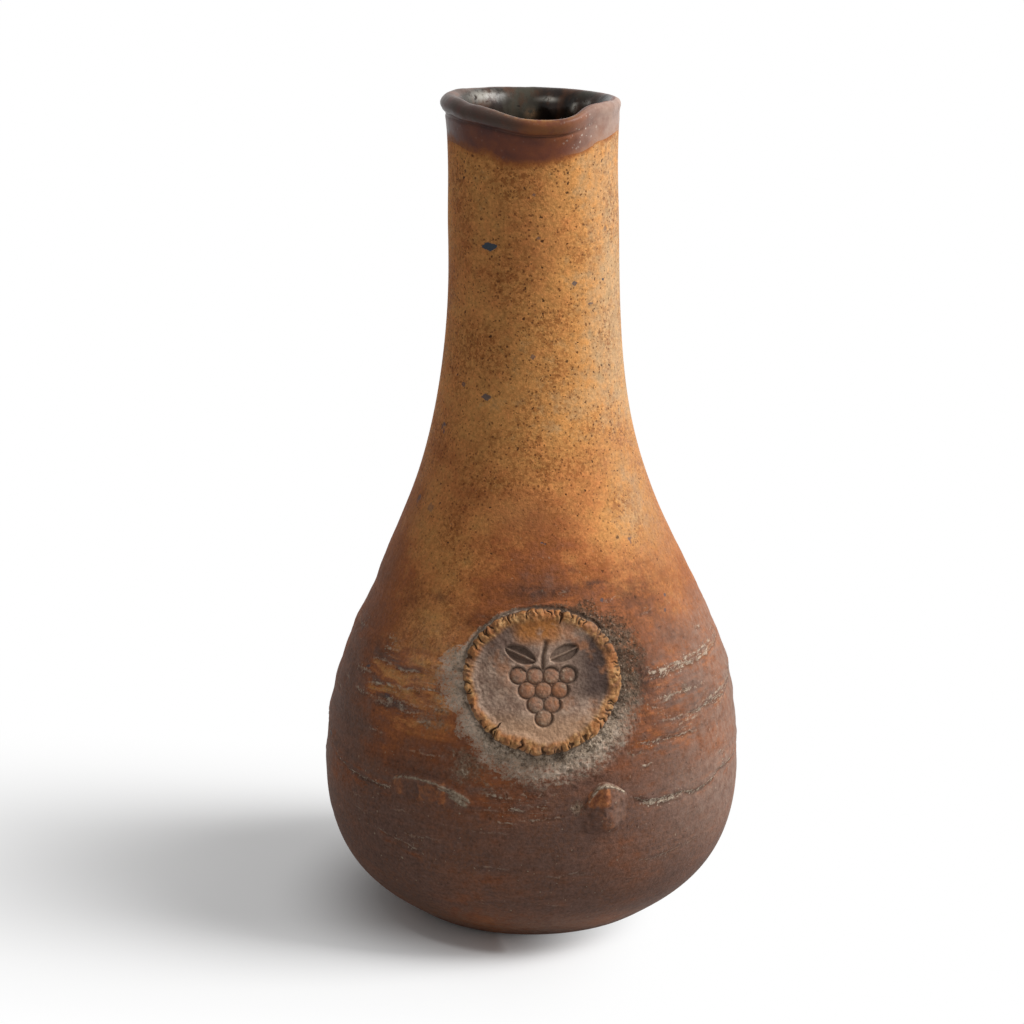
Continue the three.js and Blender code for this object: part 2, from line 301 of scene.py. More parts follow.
# A grid of points whose columns go round and whose rows are joined in order. A pole's row is one
# point. `wrap` joins the last row to the first. Marks are values for each point of the grid.
def gridPiece(name, points, material, marks, poles=True, wrap=False):
    rows, columns = points.shape[:2]
    ids = np.arange(rows * columns).reshape(rows, columns)
    if poles:
        ids[0], ids[-1] = ids[0, 0], ids[-1, 0]
    below = ids if wrap else ids[:-1]
    above = np.roll(ids, -1, 0) if wrap else ids[1:]
    quads = np.stack([below, np.roll(below, -1, 1), np.roll(above, -1, 1), above], -1).reshape(-1, 4)
    used = np.unique(quads)
    quads = np.searchsorted(used, quads)
    fromPole, toPole = quads[:, 0] == quads[:, 1], quads[:, 2] == quads[:, 3]
    faces = quads[~fromPole & ~toPole].tolist()
    faces += quads[fromPole][:, [0, 2, 3]].tolist() + quads[toPole][:, [0, 1, 2]].tolist()
    mesh = bpy.data.meshes.new(name)
    mesh.from_pydata(points.reshape(-1, 3)[used] * millimetre, [], faces)
    mesh.polygons.foreach_set("use_smooth", np.ones(len(mesh.polygons), bool))
    for label, values in marks.items():
        flat = np.broadcast_to(values, (rows, columns)).reshape(-1)[used].astype(np.float32)
        mesh.attributes.new(label, "FLOAT", "POINT").data.foreach_set("value", flat)
    mesh.materials.append(material)
    piece = addObject(name, mesh)
    triangles = sum(len(face) - 2 for face in faces)
    print(f"{name}: {len(used)} points, {triangles} triangles")
    return piece


# Stands a piece in for its CAD node
def fit(piece, node):
    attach(piece, "root")
    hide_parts(node)


# Shader nodes

drawing = {}                 # "tree" is the node tree that new nodes go into
socketKinds = {"Color": "Color", "Clay": "Color", "Vector": "Vector", "Centre": "Vector",
               "Inverse Size": "Vector"}      # others are numbers


# A value in a shader. Sums, differences and products of such values are Math nodes.
class Field:
    def __init__(self, socket):
        self.socket = socket

    def __add__(self, other):
        return maths("ADD", self, other)

    def __sub__(self, other):
        return maths("SUBTRACT", self, other)

    def __rsub__(self, other):
        return maths("SUBTRACT", other, self)

    def __mul__(self, other):
        return maths("MULTIPLY", self, other)


# A new node with its inputs set or linked. Gives one of its outputs, or all of them by name.
def putNode(kind, inputs=None, output=0, **settings):
    tree = drawing["tree"]
    node = tree.nodes.new(kind if kind.startswith("NodeGroup") else "ShaderNode" + kind)
    for key, value in settings.items():
        setattr(node, key, value)
    for key, value in (inputs or {}).items():
        if isinstance(value, Field):
            tree.links.new(value.socket, node.inputs[key])
        else:
            node.inputs[key].default_value = value
    if output == "all":
        return {socket.name: Field(socket) for socket in node.outputs}
    return Field(node.outputs[output]) if len(node.outputs) else None


def maths(operation, a, b=0.0):
    return putNode("Math", {0: a, 1: b}, operation=operation)


def vectorMaths(operation, inputs, output=0):
    return putNode("VectorMath", inputs, output, operation=operation)


# a * b + c
def blendSum(a, b, c):
    return putNode("Math", {0: a, 1: b, 2: c}, operation="MULTIPLY_ADD")


# 0 at low, 1 at high, eased between; low may be the greater
def span(value, low, high):
    inputs = {"Value": value, "From Min": low, "From Max": high}
    return putNode("MapRange", inputs, interpolation_type="SMOOTHSTEP")


def mixValue(share, low, high):
    return putNode("Mix", {0: share, 2: low, 3: high})


def mixColour(share, low, high, mode="MIX"):
    return putNode("Mix", {0: share, 6: low, 7: high}, 2, data_type="RGBA", blend_type=mode)


# A colour with others laid over it in turn, each as (share, colour)
def over(colour, *layers):
    for share, tint in layers:
        colour = mixColour(share, colour, tint)
    return colour


# A colour times a value
def toned(colour, tone):
    return mixColour(1.0, colour, putNode("CombineColor", {0: tone, 1: tone, 2: tone}), "MULTIPLY")


# Coordinates whose patterns come out flatter by a factor
def flattened(point, factor):
    return putNode("Mapping", {"Vector": point, "Scale": (1, 1, factor)})


# Noise from 0 to 1, of a size in mm
def noise(point, size, detail=2.0, rough=0.5):
    inputs = {"Vector": point, "Scale": 1 / (size * millimetre), "Detail": detail, "Roughness": rough}
    return putNode("TexNoise", inputs)


def ramp(value, stops):
    colour = putNode("ValToRGB", {0: value})
    elements = colour.socket.node.color_ramp.elements
    while len(elements) < len(stops):
        elements.new(0.5)
    for element, (place, tint) in zip(elements, stops):
        element.position, element.color = place, (*tint, 1)
    return colour


def mark(label):
    return putNode("Attribute", output="Fac", attribute_name=label, attribute_type="GEOMETRY")


def newGroup(name, inputs, outputs):
    tree = drawing["tree"] = bpy.data.node_groups.new(name, "ShaderNodeTree")
    for direction, labels in (("INPUT", inputs), ("OUTPUT", outputs)):
        for label in labels:
            kind = "NodeSocket" + socketKinds.get(label, "Float")
            tree.interface.new_socket(label, in_out=direction, socket_type=kind)
    return putNode("NodeGroupInput", output="all")


def endGroup(results):
    putNode("NodeGroupOutput", results)
    return drawing["tree"]


def useGroup(group, inputs):
    return putNode("Group", inputs, "all", node_tree=group)


def newMaterial(name):
    material = bpy.data.materials.new(name)
    material.use_nodes = True
    drawing["tree"] = material.node_tree
    drawing["tree"].nodes.clear()
    return material, putNode("TexCoord", output="Object")


# Colour, roughness and bump height to a Principled BSDF. bumpDepth is the bump of a height of 1, in mm.
def finishMaterial(colour, roughness, height, bumpDepth, specular):
    bump = putNode("Bump", {"Height": height, "Strength": 1.0, "Distance": bumpDepth * millimetre})
    shader = putNode("BsdfPrincipled", {
        "Base Color": colour, "Roughness": roughness, "Normal": bump, "Specular IOR Level": specular})
    putNode("OutputMaterial", {0: shader})


# Finishes that several pieces share

clayLook = {
    # colour of the bare clay from the ochre neck, through rust, to the chocolate foot
    "firing": [
        (0.00, (0.60, 0.370, 0.180)), (0.20, (0.63, 0.290, 0.090)), (0.40, (0.54, 0.210, 0.068)),
        (0.55, (0.355, 0.116, 0.039)), (0.70, (0.245, 0.088, 0.041)), (0.85, (0.188, 0.092, 0.061)),
        (1.00, (0.150, 0.084, 0.063)),
    ],
    "stain": (0.29, 0.098, 0.026, 1), "fineSpeck": (0.13, 0.046, 0.016, 1),
    "coarseSpeck": (0.045, 0.019, 0.011, 1),
    "flake": (0.066, 0.080, 0.100, 1),
    "paleGrain": (0.52, 0.42, 0.30, 1),
    # dust also colours the pale film on the lit right side, which is partly painted sheen
    "haze": (0.34, 0.142, 0.056, 1), "dust": (0.42, 0.290, 0.225, 1), "soot": (0.045, 0.030, 0.026, 1),
    # ash from its dark to its pale grains, and the rim's glaze from purple to rust, with its burnt edge
    "ash": [(0.12, (0.060, 0.046, 0.034)), (0.36, (0.205, 0.145, 0.098)), (0.62, (0.320, 0.240, 0.170)),
            (0.88, (0.600, 0.500, 0.380))],
    "glaze": [(0.15, (0.088, 0.036, 0.032)), (0.5, (0.170, 0.057, 0.035)), (0.85, (0.260, 0.086, 0.037))],
    "fringe": (0.36, 0.120, 0.036, 1),
    # pooled glaze: where it is thick and thin, its brown runs and its pits
    "pool": [(0.026, 0.018, 0.015, 1), (0.070, 0.062, 0.046, 1)],
    "poolRust": (0.090, 0.040, 0.022, 1), "poolPit": (0.01, 0.008, 0.007, 1),
}


# Irregular dots: one in each cell of a Voronoi texture, in a share of the cells, of mixed sizes
def speckGroup():
    given = newGroup("claySpecks", ("Vector", "Size", "Share", "Girth"), ("Mask",))
    point, size = given["Vector"], given["Size"]
    scale = maths("DIVIDE", 1000.0, size)
    wobble = putNode("TexNoise", {"Vector": point, "Scale": scale * 3.0}, "Color")
    centred = vectorMaths("SUBTRACT", {0: wobble, 1: (0.5, 0.5, 0.5)})
    shifted = vectorMaths("SCALE", {0: centred, "Scale": size * (0.6 * millimetre)})
    moved = vectorMaths("ADD", {0: point, 1: shifted})
    cells = putNode("TexVoronoi", {"Vector": moved, "Scale": scale}, "all")
    draws = putNode("SeparateColor", {0: cells["Color"]}, "all")
    radius = blendSum(draws["Green"], 0.22, 0.10) * given["Girth"]
    dot = span(cells["Distance"], radius, radius * 0.5)
    return endGroup({"Mask": dot * maths("LESS_THAN", draws["Red"], given["Share"])})


def specks(point, size, share, girth):
    return useGroup(claySpecks, {"Vector": point, "Size": size, "Share": share, "Girth": girth})["Mask"]


# Bare clay: colour by how far it was fired, with mottling, streaks along the turning, and specks
def clayGroup():
    given = newGroup("firedClay", ("Vector", "Firing"), ("Color", "Roughness", "Height"))
    point, firing = given["Vector"], given["Firing"]
    broad = noise(point, 26, 3) - 0.5
    streak = noise(flattened(point, 3.0), 15, 4, 0.62) - 0.5
    mottle = noise(point, 3.6, 4, 0.68) - 0.5
    grain = noise(point, 0.95, 3, 0.7) - 0.5
    unrest = blendSum(streak, 0.5, broad * 0.85)
    fired = blendSum(unrest, blendSum(firing, 0.65, 0.35), firing)
    fired = blendSum(mottle, 0.5, fired)
    bare = span(firing, 0.75, 0.4)
    lines = (noise(flattened(point, 9.0), 9, 3, 0.6) - 0.5) * blendSum(bare, -0.35, 0.5)
    shade = lines + blendSum(grain, 1.5, blendSum(mottle, 0.9, 1.02))
    crowd = blendSum(noise(point, 13, 3), 2.6, -0.5)
    upThePot = span(putNode("SeparateXYZ", {0: point}, "Z"), 0.085, 0.140)
    dotted = blendSum(upThePot, 0.55, 0.45)
    stain = span(noise(point, 1.4, 4, 0.75), 0.46, 0.58) * span(crowd, 0.35, 1.3)
    fine = specks(point, 1.1, crowd * 1.15, 1.35) * dotted
    coarse, flakes = specks(point, 2.5, 0.34, 0.75), specks(point, 13.0, 0.3, 0.35)
    pale = specks(vectorMaths("ADD", {0: point, 1: (0.31, 0.17, 0.23)}), 2.2, 0.5, 0.55)
    colour = over(
        toned(ramp(fired, clayLook["firing"]), shade),
        (stain * blendSum(bare, 0.6, 0.2), clayLook["stain"]),
        (fine * blendSum(bare, 0.4, 0.4), clayLook["fineSpeck"]),
        (coarse * (dotted * 0.9), clayLook["coarseSpeck"]), (flakes * 0.8, clayLook["flake"]),
        (pale * blendSum(bare, -0.4, 0.5), clayLook["paleGrain"]))
    pits = blendSum(coarse, -0.5, flakes * -0.4)
    height = blendSum(grain, 0.6, blendSum(mottle, 1.2, lines + pits))
    return endGroup({"Color": colour, "Roughness": blendSum(mottle, 0.25, 0.62), "Height": height})


# Clay as it lies on the wall: in layers where it is torn, hazy, dusty or sooty in patches, and under a pale
# film of dust and painted sheen
def wallGroup():
    given = newGroup("weatheredClay", ("Vector", "Firing", "Torn", "Haze", "Film", "Soot"),
                     ("Color", "Roughness", "Height"))
    point = given["Vector"]
    layers = noise(flattened(point, 4.5), 7, 4, 0.65) - 0.5
    firing = blendSum(layers * given["Torn"], 1.3, given["Firing"])
    clay = useGroup(firedClay, {"Vector": point, "Firing": firing})
    hazy = given["Haze"] * (noise(point, 9, 4, 0.6) * 1.4)
    # partly dust, partly painted sheen on the lit right side
    dustAndSheen = given["Film"] * blendSum(noise(point, 2.6, 4, 0.7), 1.5, -0.38)
    sooty = given["Soot"] * span(noise(point, 3.0, 4, 0.7), 0.30, 0.58)
    colour = over(
        clay["Color"], (hazy, clayLook["haze"]), (dustAndSheen, clayLook["dust"]), (sooty, clayLook["soot"]))
    return endGroup({**clay, "Color": colour})


# The wall's clay in a material, by the marks that wallMarks gives
def markedClay(point):
    marks = {label.capitalize(): mark(label) for label in ("firing", "torn", "haze", "film", "soot")}
    return useGroup(weatheredClay, {"Vector": point, **marks})


# Grey ash and slip, lying in grains and clumps where the amount is high enough
def ashGroup():
    given = newGroup("ashCrust", ("Vector", "Amount"), ("Mask", "Color", "Height"))
    point = given["Vector"]
    clumps, grains = noise(point, 5.5, 4, 0.62) - 0.5, noise(point, 1.3, 3, 0.7) - 0.5
    cover = blendSum(given["Amount"], 1.5, blendSum(clumps, 1.3, blendSum(grains, 1.1, -0.3)))
    mask = span(cover, 0.12, 0.75)
    tone = blendSum(noise(point, 0.9, 2, 0.65), 1.7, blendSum(clumps, 0.5, -0.40))
    height = mask * blendSum(grains, 1.6, 0.5)
    return endGroup({"Mask": mask, "Color": ramp(tone, clayLook["ash"]), "Height": height})


def ashOn(point, amount):
    return useGroup(ashCrust, {"Vector": point, "Amount": amount})


# The lower edge of the rim's glaze: clay, a burnt orange fringe, then the glaze. Rise is the
# height above that edge in mm.
def fringeGroup():
    given = newGroup("glazeFringe", ("Vector", "Rise", "Clay", "Clay Roughness"),
                     ("Color", "Roughness", "Glaze"))
    point = given["Vector"]
    ragged, fine = noise(point, 5.0, 4, 0.65) - 0.5, noise(point, 1.5, 3, 0.65) - 0.5
    rise = blendSum(fine, 2.2, blendSum(ragged, 4.5, given["Rise"]))
    tint = noise(point, 11, 3, 0.6) - 0.5
    glaze = ramp(blendSum(tint, 2.1, 0.5), clayLook["glaze"])
    share = span(rise, 0.2, 3.2)
    colour = over(given["Clay"], (span(rise, -1.2, 1.4) * 0.9, clayLook["fringe"]), (share, glaze))
    satin = mixValue(share, given["Clay Roughness"], blendSum(tint, 0.3, 0.36))
    return endGroup({"Color": colour, "Roughness": satin, "Glaze": share})


# That edge in a material, over its clay
def fringed(point, clay):
    return useGroup(glazeFringe, {
        "Vector": point, "Rise": mark("glazeRise"), "Clay": clay["Color"],
        "Clay Roughness": clay["Roughness"]})


# Glossy pooled glaze: dark, olive where it lies thin, with brown runs and small pits
def poolGroup():
    given = newGroup("pooledGlaze", ("Vector",), ("Color", "Roughness", "Height"))
    point = given["Vector"]
    runs = flattened(point, 0.45)
    pool = noise(runs, 9, 4, 0.6)
    rust = span(noise(runs, 6, 3, 0.6), 0.48, 0.7)
    pits = specks(point, 2.2, 0.4, 0.8)
    colour = mixColour(span(pool, 0.42, 0.72), *clayLook["pool"])
    colour = over(colour, (rust * 0.85, clayLook["poolRust"]), (pits * 0.8, clayLook["poolPit"]))
    height = blendSum(pits, -0.6, noise(point, 3.5, 3, 0.55))
    return endGroup({"Color": colour, "Roughness": blendSum(pool, 0.24, 0.12), "Height": height})


claySpecks = speckGroup()
firedClay = clayGroup()
weatheredClay = wallGroup()
ashCrust = ashGroup()
glazeFringe = fringeGroup()
pooledGlaze = poolGroup()
print("shared finishes made")


# Thrown body

body = {
    "columns": 360, "frontCrowding": 0.5,        # columns lie closer together at the front
    # rows up the wall as (from, to, how many), closest on the belly
    "rows": [(1, 30, 24), (30.6, 118, 166), (119.8, 241, 44)],
    "tearWidth": 0.65, "tearCut": 0.55,
    # how far the wall was fired, as (height, share)
    "firing": [(0, 0.90), (20, 0.95), (42, 0.93), (52, 0.87), (62, 0.79), (80, 0.73), (95, 0.70),
               (110, 0.63), (120, 0.55), (131, 0.48), (143, 0.31), (160, 0.20), (250, 0.20)],
    # flashes of the fire as (bearing, height, half-width in degrees, half-height in mm, change of share)
    "flashes": [
        (-36, 114, 18, 16, -0.17), (-36, 94, 16, 10, -0.37), (-54, 98, 16, 12, -0.20),
        (-30, 79, 10, 7, -0.16), (-52, 126, 22, 12, -0.16), (-36, 70, 12, 6, -0.12),
        (0, 121, 16, 8, 0.09), (50, 118, 16, 6, 0.12), (39, 109, 12, 5, -0.02), (-62, 86, 14, 12, 0.08),
        (-70, 72, 20, 16, 0.10), (-40, 68, 14, 8, -0.04), (-46, 63, 10, 6, -0.08),
        (25, 138, 20, 14, 0.07), (52, 129, 30, 12, -0.32), (46, 117, 22, 7, -0.12),
        (70, 106, 24, 9, -0.06), (60, 80, 24, 14, 0.08), (32, 76, 9, 7, -0.10), (38, 68, 12, 4, -0.10),
        (78, 64, 24, 12, 0.06), (-4, 28, 24, 5, -0.12), (0, 6, 50, 7, -0.20), (10, 60, 10, 4, 0.08),
        (-40, 46, 20, 6, -0.05), (72, 190, 34, 70, -0.17), (-70, 190, 34, 70, 0.15),
        (0, 215, 36, 24, 0.16), (140, 100, 40, 14, -0.2), (-140, 92, 34, 12, -0.16),
        (180, 70, 30, 12, 0.08),
    ],
    # torn strips as (bearing and height of one end, of the other, thickness in mm, change of that share)
    "strips": [
        (-47.5, 91.2, -34, 92.4, 1.8, 0.16), (-45.4, 88.8, -28, 90.0, 2.2, -0.20),
        (-47, 86.2, -36, 87.0, 1.5, 0.20), (-52, 83.0, -30.5, 84.4, 3.2, -0.22),
        (-57.6, 79.0, -35.2, 80.9, 2.6, -0.22), (-39, 78.8, -24, 78.2, 3.0, -0.14),
        (-53, 77.0, -38, 75.4, 3.2, 0.20), (-43, 72.2, -22, 71.6, 5.5, -0.14),
        (-66, 67.0, -44, 66.0, 3.5, 0.08), (38, 82.0, 56, 81.4, 2.4, -0.05),
        (30, 74.6, 46, 75.2, 3.0, -0.05), (36, 64.6, 58, 64.0, 4.0, -0.05),
    ],
    # sooty patches as (bearing, height, half-width in degrees, half-height in mm, amount)
    "soot": [
        (40, 107, 13, 7, 0.50), (4, 111.6, 12, 2.2, 0.75), (-20, 103, 5, 3, 0.4), (37, 73, 10, 8, 0.30),
        (33, 87, 7, 10, 0.75), (52, 95, 10, 5, 0.3), (58, 76, 15, 13, 0.2), (-58, 90, 6, 4, 0.5),
        (-46, 78, 5, 2.4, 0.45), (-49, 106, 6, 3, 0.25), (-36, 108, 4, 1.4, 0.5),
        (23, 112.8, 6, 1.0, 0.8), (15, 117, 3.5, 1.0, 0.5), (-40, 60, 12, 3, 0.3), (10, 46, 5, 4, 0.3),
        (0, 54, 16, 3, 0.25), (150, 84, 9, 5, 0.45), (-155, 70, 8, 4, 0.4), (200, 96, 7, 4, 0.35),
    ],
    # slate flakes in the clay as (bearing, height, width, height of it in mm, how much it hides)
    "flakes": [
        (-30.3, 209.4, 4.8, 2.9, 1.0), (-28.7, 165.1, 3.2, 2.1, 0.8), (0.0, 177.5, 1.6, 1.6, 0.6),
        (27.9, 198.6, 2.0, 1.4, 0.75), (3.3, 212.4, 1.2, 1.0, 0.5), (-47.3, 167.7, 1.5, 1.6, 0.6),
        (55.2, 213.5, 1.2, 1.5, 0.5), (52.6, 198.5, 1.1, 0.8, 0.9), (25.5, 108.2, 1.3, 1.2, 0.7),
        (55.0, 105.4, 1.2, 1.2, 0.7), (52.0, 101.6, 1.1, 1.3, 0.6), (0.6, 225.0, 1.2, 1.1, 0.6),
        (-55.5, 130.6, 2.6, 3.0, 0.3), (40.6, 192.1, 2.2, 0.7, 0.6), (-47.5, 78.0, 2.0, 1.6, 0.5),
        (-44.0, 76.6, 1.3, 1.3, 0.5),
    ],
    # tears in the wall as (depth and lap in mm, shares of ash and of fresh clay, path of (bearing, height))
    "tears": [
        (0.5, 0.5, 0.55, 1, [(-60, 86.0), (-50, 87.1), (-45, 86.1), (-37, 86.6), (-30, 86.3)]),
        (0.7, 0.6, 0.9, 1, [(-58, 79.4), (-49.5, 80.7), (-43, 81.2), (-34, 81.9), (-25, 82.0)]),
        (0.3, 0.2, 1.0, 1, [(-37, 82.6), (-32, 82.2), (-25, 81.4)]),
        (0.6, 0.3, 0.5, 1, [(-53, 76.6), (-45, 76.1), (-39, 75.5), (-33, 76.1)]),
        (0.6, 0.9, 0.95, 0.12, [(-92, 61), (-76, 56.9), (-66, 53.6), (-59, 52.3), (-53, 51.9),
                                (-47, 51.9), (-39, 52.3)]),
        (0.4, 0.3, 0.4, 1, [(-47, 38.0), (-39.7, 36.4), (-34.4, 35.2), (-30, 34.0)]),
        (0.8, 0.7, 0.95, 1, [(86, 87.2), (77.7, 86.5), (67, 85.7), (56, 85.7), (49.5, 85.6),
                             (42.8, 85.0), (35, 84.3)]),
        (0.4, 0.3, 0.85, 1, [(74, 88.0), (62, 87.6), (52, 87.2), (45, 86.7), (34, 86.4)]),
        (0.5, 0.3, 0.6, 1, [(61, 78.6), (52, 79.3), (46, 78.9), (38, 77.8)]),
        (0.8, 0.8, 0.95, 1, [(96, 79), (86, 76.0), (79, 73.9), (71, 72.1), (61, 72.7), (54.5, 72.5),
                             (47, 72.2)]),
        (0.4, 0.25, 0.75, 1, [(84, 77.3), (74, 74.6), (64, 74.3), (55, 74.0)]),
        (0.4, 0.3, 0.5, 1, [(56, 71.3), (49.3, 70.6), (42, 70.0)]),
        (0.5, 0.5, 0.75, 1, [(53, 66.6), (44, 67.3), (39, 67.6), (33, 67.4), (27, 68.3)]),
        (0.5, 0.6, 1.0, 0.3, [(92, 54), (82, 52.4), (73.7, 51.1), (62.6, 51.2), (56, 49.1), (50, 48.7),
                              (44, 49.8), (39, 49.9), (34, 49.9), (27, 52.2)]),
        (0.3, 0.15, 1.0, 1, [(29, 51.0), (34, 48.9), (39, 48.7), (45, 48.8)]),
        (0.3, 0.2, 0.3, 1, [(54, 32.6), (43.8, 32.1), (34, 31.0)]),
        (0.3, 0.15, 0.9, 1, [(-13, 54.3), (-9, 54.9), (-5, 54.2)]),
        (0.3, 0.15, 0.8, 1, [(-7, 51.8), (-2, 50.4)]),
        (0.3, 0.15, 0.8, 1, [(-2.5, 55.4), (2, 54.6)]),
        (0.3, 0.15, 0.7, 1, [(-1, 52.4), (5, 51.0)]),
        (0.4, 0.1, 0.0, 1, [(20, 114.8), (27, 113.4), (33, 112.2)]),
    ],
    "backTears": 15, "backSeed": 41,
    "tints": {
        "chalk": [(0.50, 0.390, 0.280, 1), (0.82, 0.700, 0.550, 1)], "lapShade": (0.045, 0.028, 0.020, 1),
    },
    # fields of thin scratches as (how many, bearings, heights, ash)
    "scratchSeed": 47,
    "scratches": [(16, (-68, -28), (64, 95), 0.55), (14, (28, 82), (56, 96), 0.6),
                  (10, (-62, 72), (18, 46), 0.20), (5, (-20, 16), (46, 58), 0.42),
                  (6, (-60, 70), (98, 112), 0.2), (24, (90, 290), (30, 98), 0.45)],
    # hazy patches, given as the sooty ones are
    "haze": [(-4, 132, 15, 6, 0.6), (66, 124, 18, 24, 0.6), (-72, 128, 14, 20, 0.5)],
    # dust lying in patches, likewise
    "dust": [(-36, 88, 18, 14, 0.42), (0, 5, 70, 7, 0.75), (30, 104, 20, 6, 0.1)],
    "leastFiring": [(0, 0.36), (92, 0.34), (108, 0.10), (250, 0)],          # the belly shows no ochre clay
    "tornPatches": [(-42, 82, 16, 11, 0.7), (46, 78, 18, 12, 0.22), (160, 80, 30, 12, 0.5)],
    # a pale film on the lit right side, by height: partly dust, partly painted sheen
    "film": [(16, 0), (46, 1), (92, 0.9), (108, 0.15), (122, 0.4), (150, 0.45), (180, 0.42), (232, 0.4)],
    # patches of ash, likewise
    "ash": [
        (32, 86, 6, 9, 0.34), (50, 79.6, 3.5, 2.2, 0.5), (28, 65.3, 3, 2.0, 0.55),
        (12.5, 51, 2.4, 3.2, 0.6), (-27, 82, 6, 7, 0.45), (4, 63.5, 18, 4, 0.42), (-6, 57, 14, 4, 0.22),
        (-50, 92, 9, 6, 0.26), (-36, 107, 5, 3, 0.2), (-18, 66, 5, 4, 0.4), (-20, 60, 9, 5, 0.33),
        (-30, 72, 8, 7, 0.28), (160, 80, 14, 9, 0.4), (-130, 66, 12, 6, 0.35), (215, 60, 16, 5, 0.35),
    ],
}


# A path of (bearing, height) at a seeded place. Lead is the share of it before that place.
def drawnPath(draw, bearings, lengths, heights, tilt, wobble, knots, lead):
    start, length = draw.uniform(*bearings), draw.uniform(*lengths)
    height, slope = draw.uniform(*heights), draw.uniform(-tilt, tilt)
    steps = np.linspace(0, 1, knots)
    rises = height + slope * length * steps + draw.normal(0, wobble, knots)
    return list(zip(start + length * (steps - lead), rises))


# More tears like the photographed ones, spread over the back, and thin scratches over each field
def seededTears():
    made = []
    draw = np.random.default_rng(body["backSeed"])
    for tear in range(body["backTears"]):
        path = drawnPath(draw, (98, 240), (16, 44), (36, 96), 0.12, 0.5, 5, 0)
        made.append((draw.uniform(0.4, 0.8), draw.uniform(0.2, 0.8), draw.uniform(0.3, 0.95), 1, path))
    draw = np.random.default_rng(body["scratchSeed"])
    for count, bearings, heights, ash in body["scratches"]:
        for scratch in range(count):
            path = drawnPath(draw, bearings, (4, 13), heights, 0.10, 0.25, 4, 0.5)
            made.append((0.25, draw.uniform(0.05, 0.2), ash * draw.uniform(0.5, 1.4), 1, path))
    return made


# Signed distance in mm from the nearest tear's line, its ash, how far the wall is cut and lapped there, how
# much less it was fired, and how torn it is. The cut is bell-shaped along the line. The lap is a step at the
# line that dies away as exp(-distance / reach) on both sides, with fresher clay under it and darker clay
# over it.
# All fade at both ends of the tear.
def tearField(bearing, height):
    nearest = np.full(bearing.shape, 9.0)
    ash, relief, fresh, torn = (np.zeros(bearing.shape) for field in range(4))
    ragged = 0.6 * wallNoise(bearing, height, 150, 9, 21, 3)
    uneven = 0.75 + 0.45 * wallNoise(bearing, height, 60, 12, 23)
    for depth, lap, ashShare, freshShare, path in body["tears"] + seededTears():
        path = np.array(sorted(path))
        middle = path[:, 0].mean()
        along = around(bearing - middle) + middle
        off = height - curved(along, path) - ragged
        first, last = path[0, 0], path[-1, 0]
        end = min(4, 0.3 * (last - first))
        fade = within(along, first - 1, first + end, last - end, last + 1)
        cut = -body["tearCut"] * depth * bell(off, body["tearWidth"]) * uneven
        upper = smooth(off, -0.4, 0.4)
        ledge = 0.75 * upper * np.exp(-np.maximum(off, 0) / 4.5)
        ledge = ledge - 0.5 * (1 - upper) * np.exp(np.minimum(off, 0) / 3.5)
        relief += (cut + lap * ledge) * fade
        bright = within(off, 0.2, -0.5, -2.5, -5.5) - 0.6 * upper * smooth(off, 4, 1.2)
        side = 1.0 if middle < 0 else 0.25
        fresh += bright * smooth(lap, 0.15, 0.4) * side * freshShare * fade
        torn = np.maximum(torn, bell(off, 3.6) * fade * smooth(lap, 0.05, 0.3))
        closer = (np.abs(off) < np.abs(nearest)) & (fade > 0)
        nearest = np.where(closer, off, nearest)
        ash = np.where(closer, ashShare * fade * smooth(np.abs(off), 3.0, 2.0), ash)
    return nearest, ash, relief, fresh, torn


# Change of firing over the torn strips: the full change within half the thickness of a line between two
# places on the wall, with a broken edge
def stripField(bearing, height):
    change = np.zeros(bearing.shape)
    broken = 0.7 * wallNoise(bearing, height, 120, 5, 25, 2)
    for start, low, end, high, thick, amount in body["strips"]:
        off = np.abs(height - np.interp(bearing, [start, end], [low, high]) - broken)
        ends = within(bearing + broken, start - 1.2, start + 1.8, end - 1.8, end + 1.2)
        change += amount * smooth(off, thick / 2 + 0.4, thick / 2 - 0.4) * ends
    return change


# How far the wall was fired at a place: by its height, changed by the flashes
def firingAt(bearing, height):
    return eased(height, body["firing"]) + patches(bearing, height, body["flashes"])


# What the fire and the tearing left at a place of the wall: marks for its clay, marks of its tears, and
# relief in mm. Torn strips lie deeper where they are paler.
def wallMarks(bearing, height):
    tearDistance, tearAsh, relief, fresh, torn = tearField(bearing, height)
    strips = stripField(bearing, height)
    side = smooth(np.sin(np.radians(bearing)), 0.4, 1.0)
    fired = firingAt(bearing, height) - 0.22 * fresh + strips
    marks = {
        "firing": np.maximum(fired, eased(height, body["leastFiring"])),
        "torn": np.clip(torn + patches(bearing, height, body["tornPatches"]), 0, 1),
        "haze": patches(bearing, height, body["haze"]), "soot": patches(bearing, height, body["soot"]),
        # film: dust patches, and a pale film on the lit right side that is partly painted sheen
        "film": side * eased(height, body["film"]) + patches(bearing, height, body["dust"]),
    }
    return marks, {"tearDistance": tearDistance, "tearAsh": tearAsh}, relief - 1.1 * strips


# Height of the rim glaze's lower edge, as (bearing, mm)
glazeEdge = [(-180, 238), (-120, 238), (-68, 237.1), (-36, 235.4), (-14, 233.2), (5, 233.5), (29, 235.8),
             (50, 238.7), (77, 240.4), (130, 239), (180, 238)]


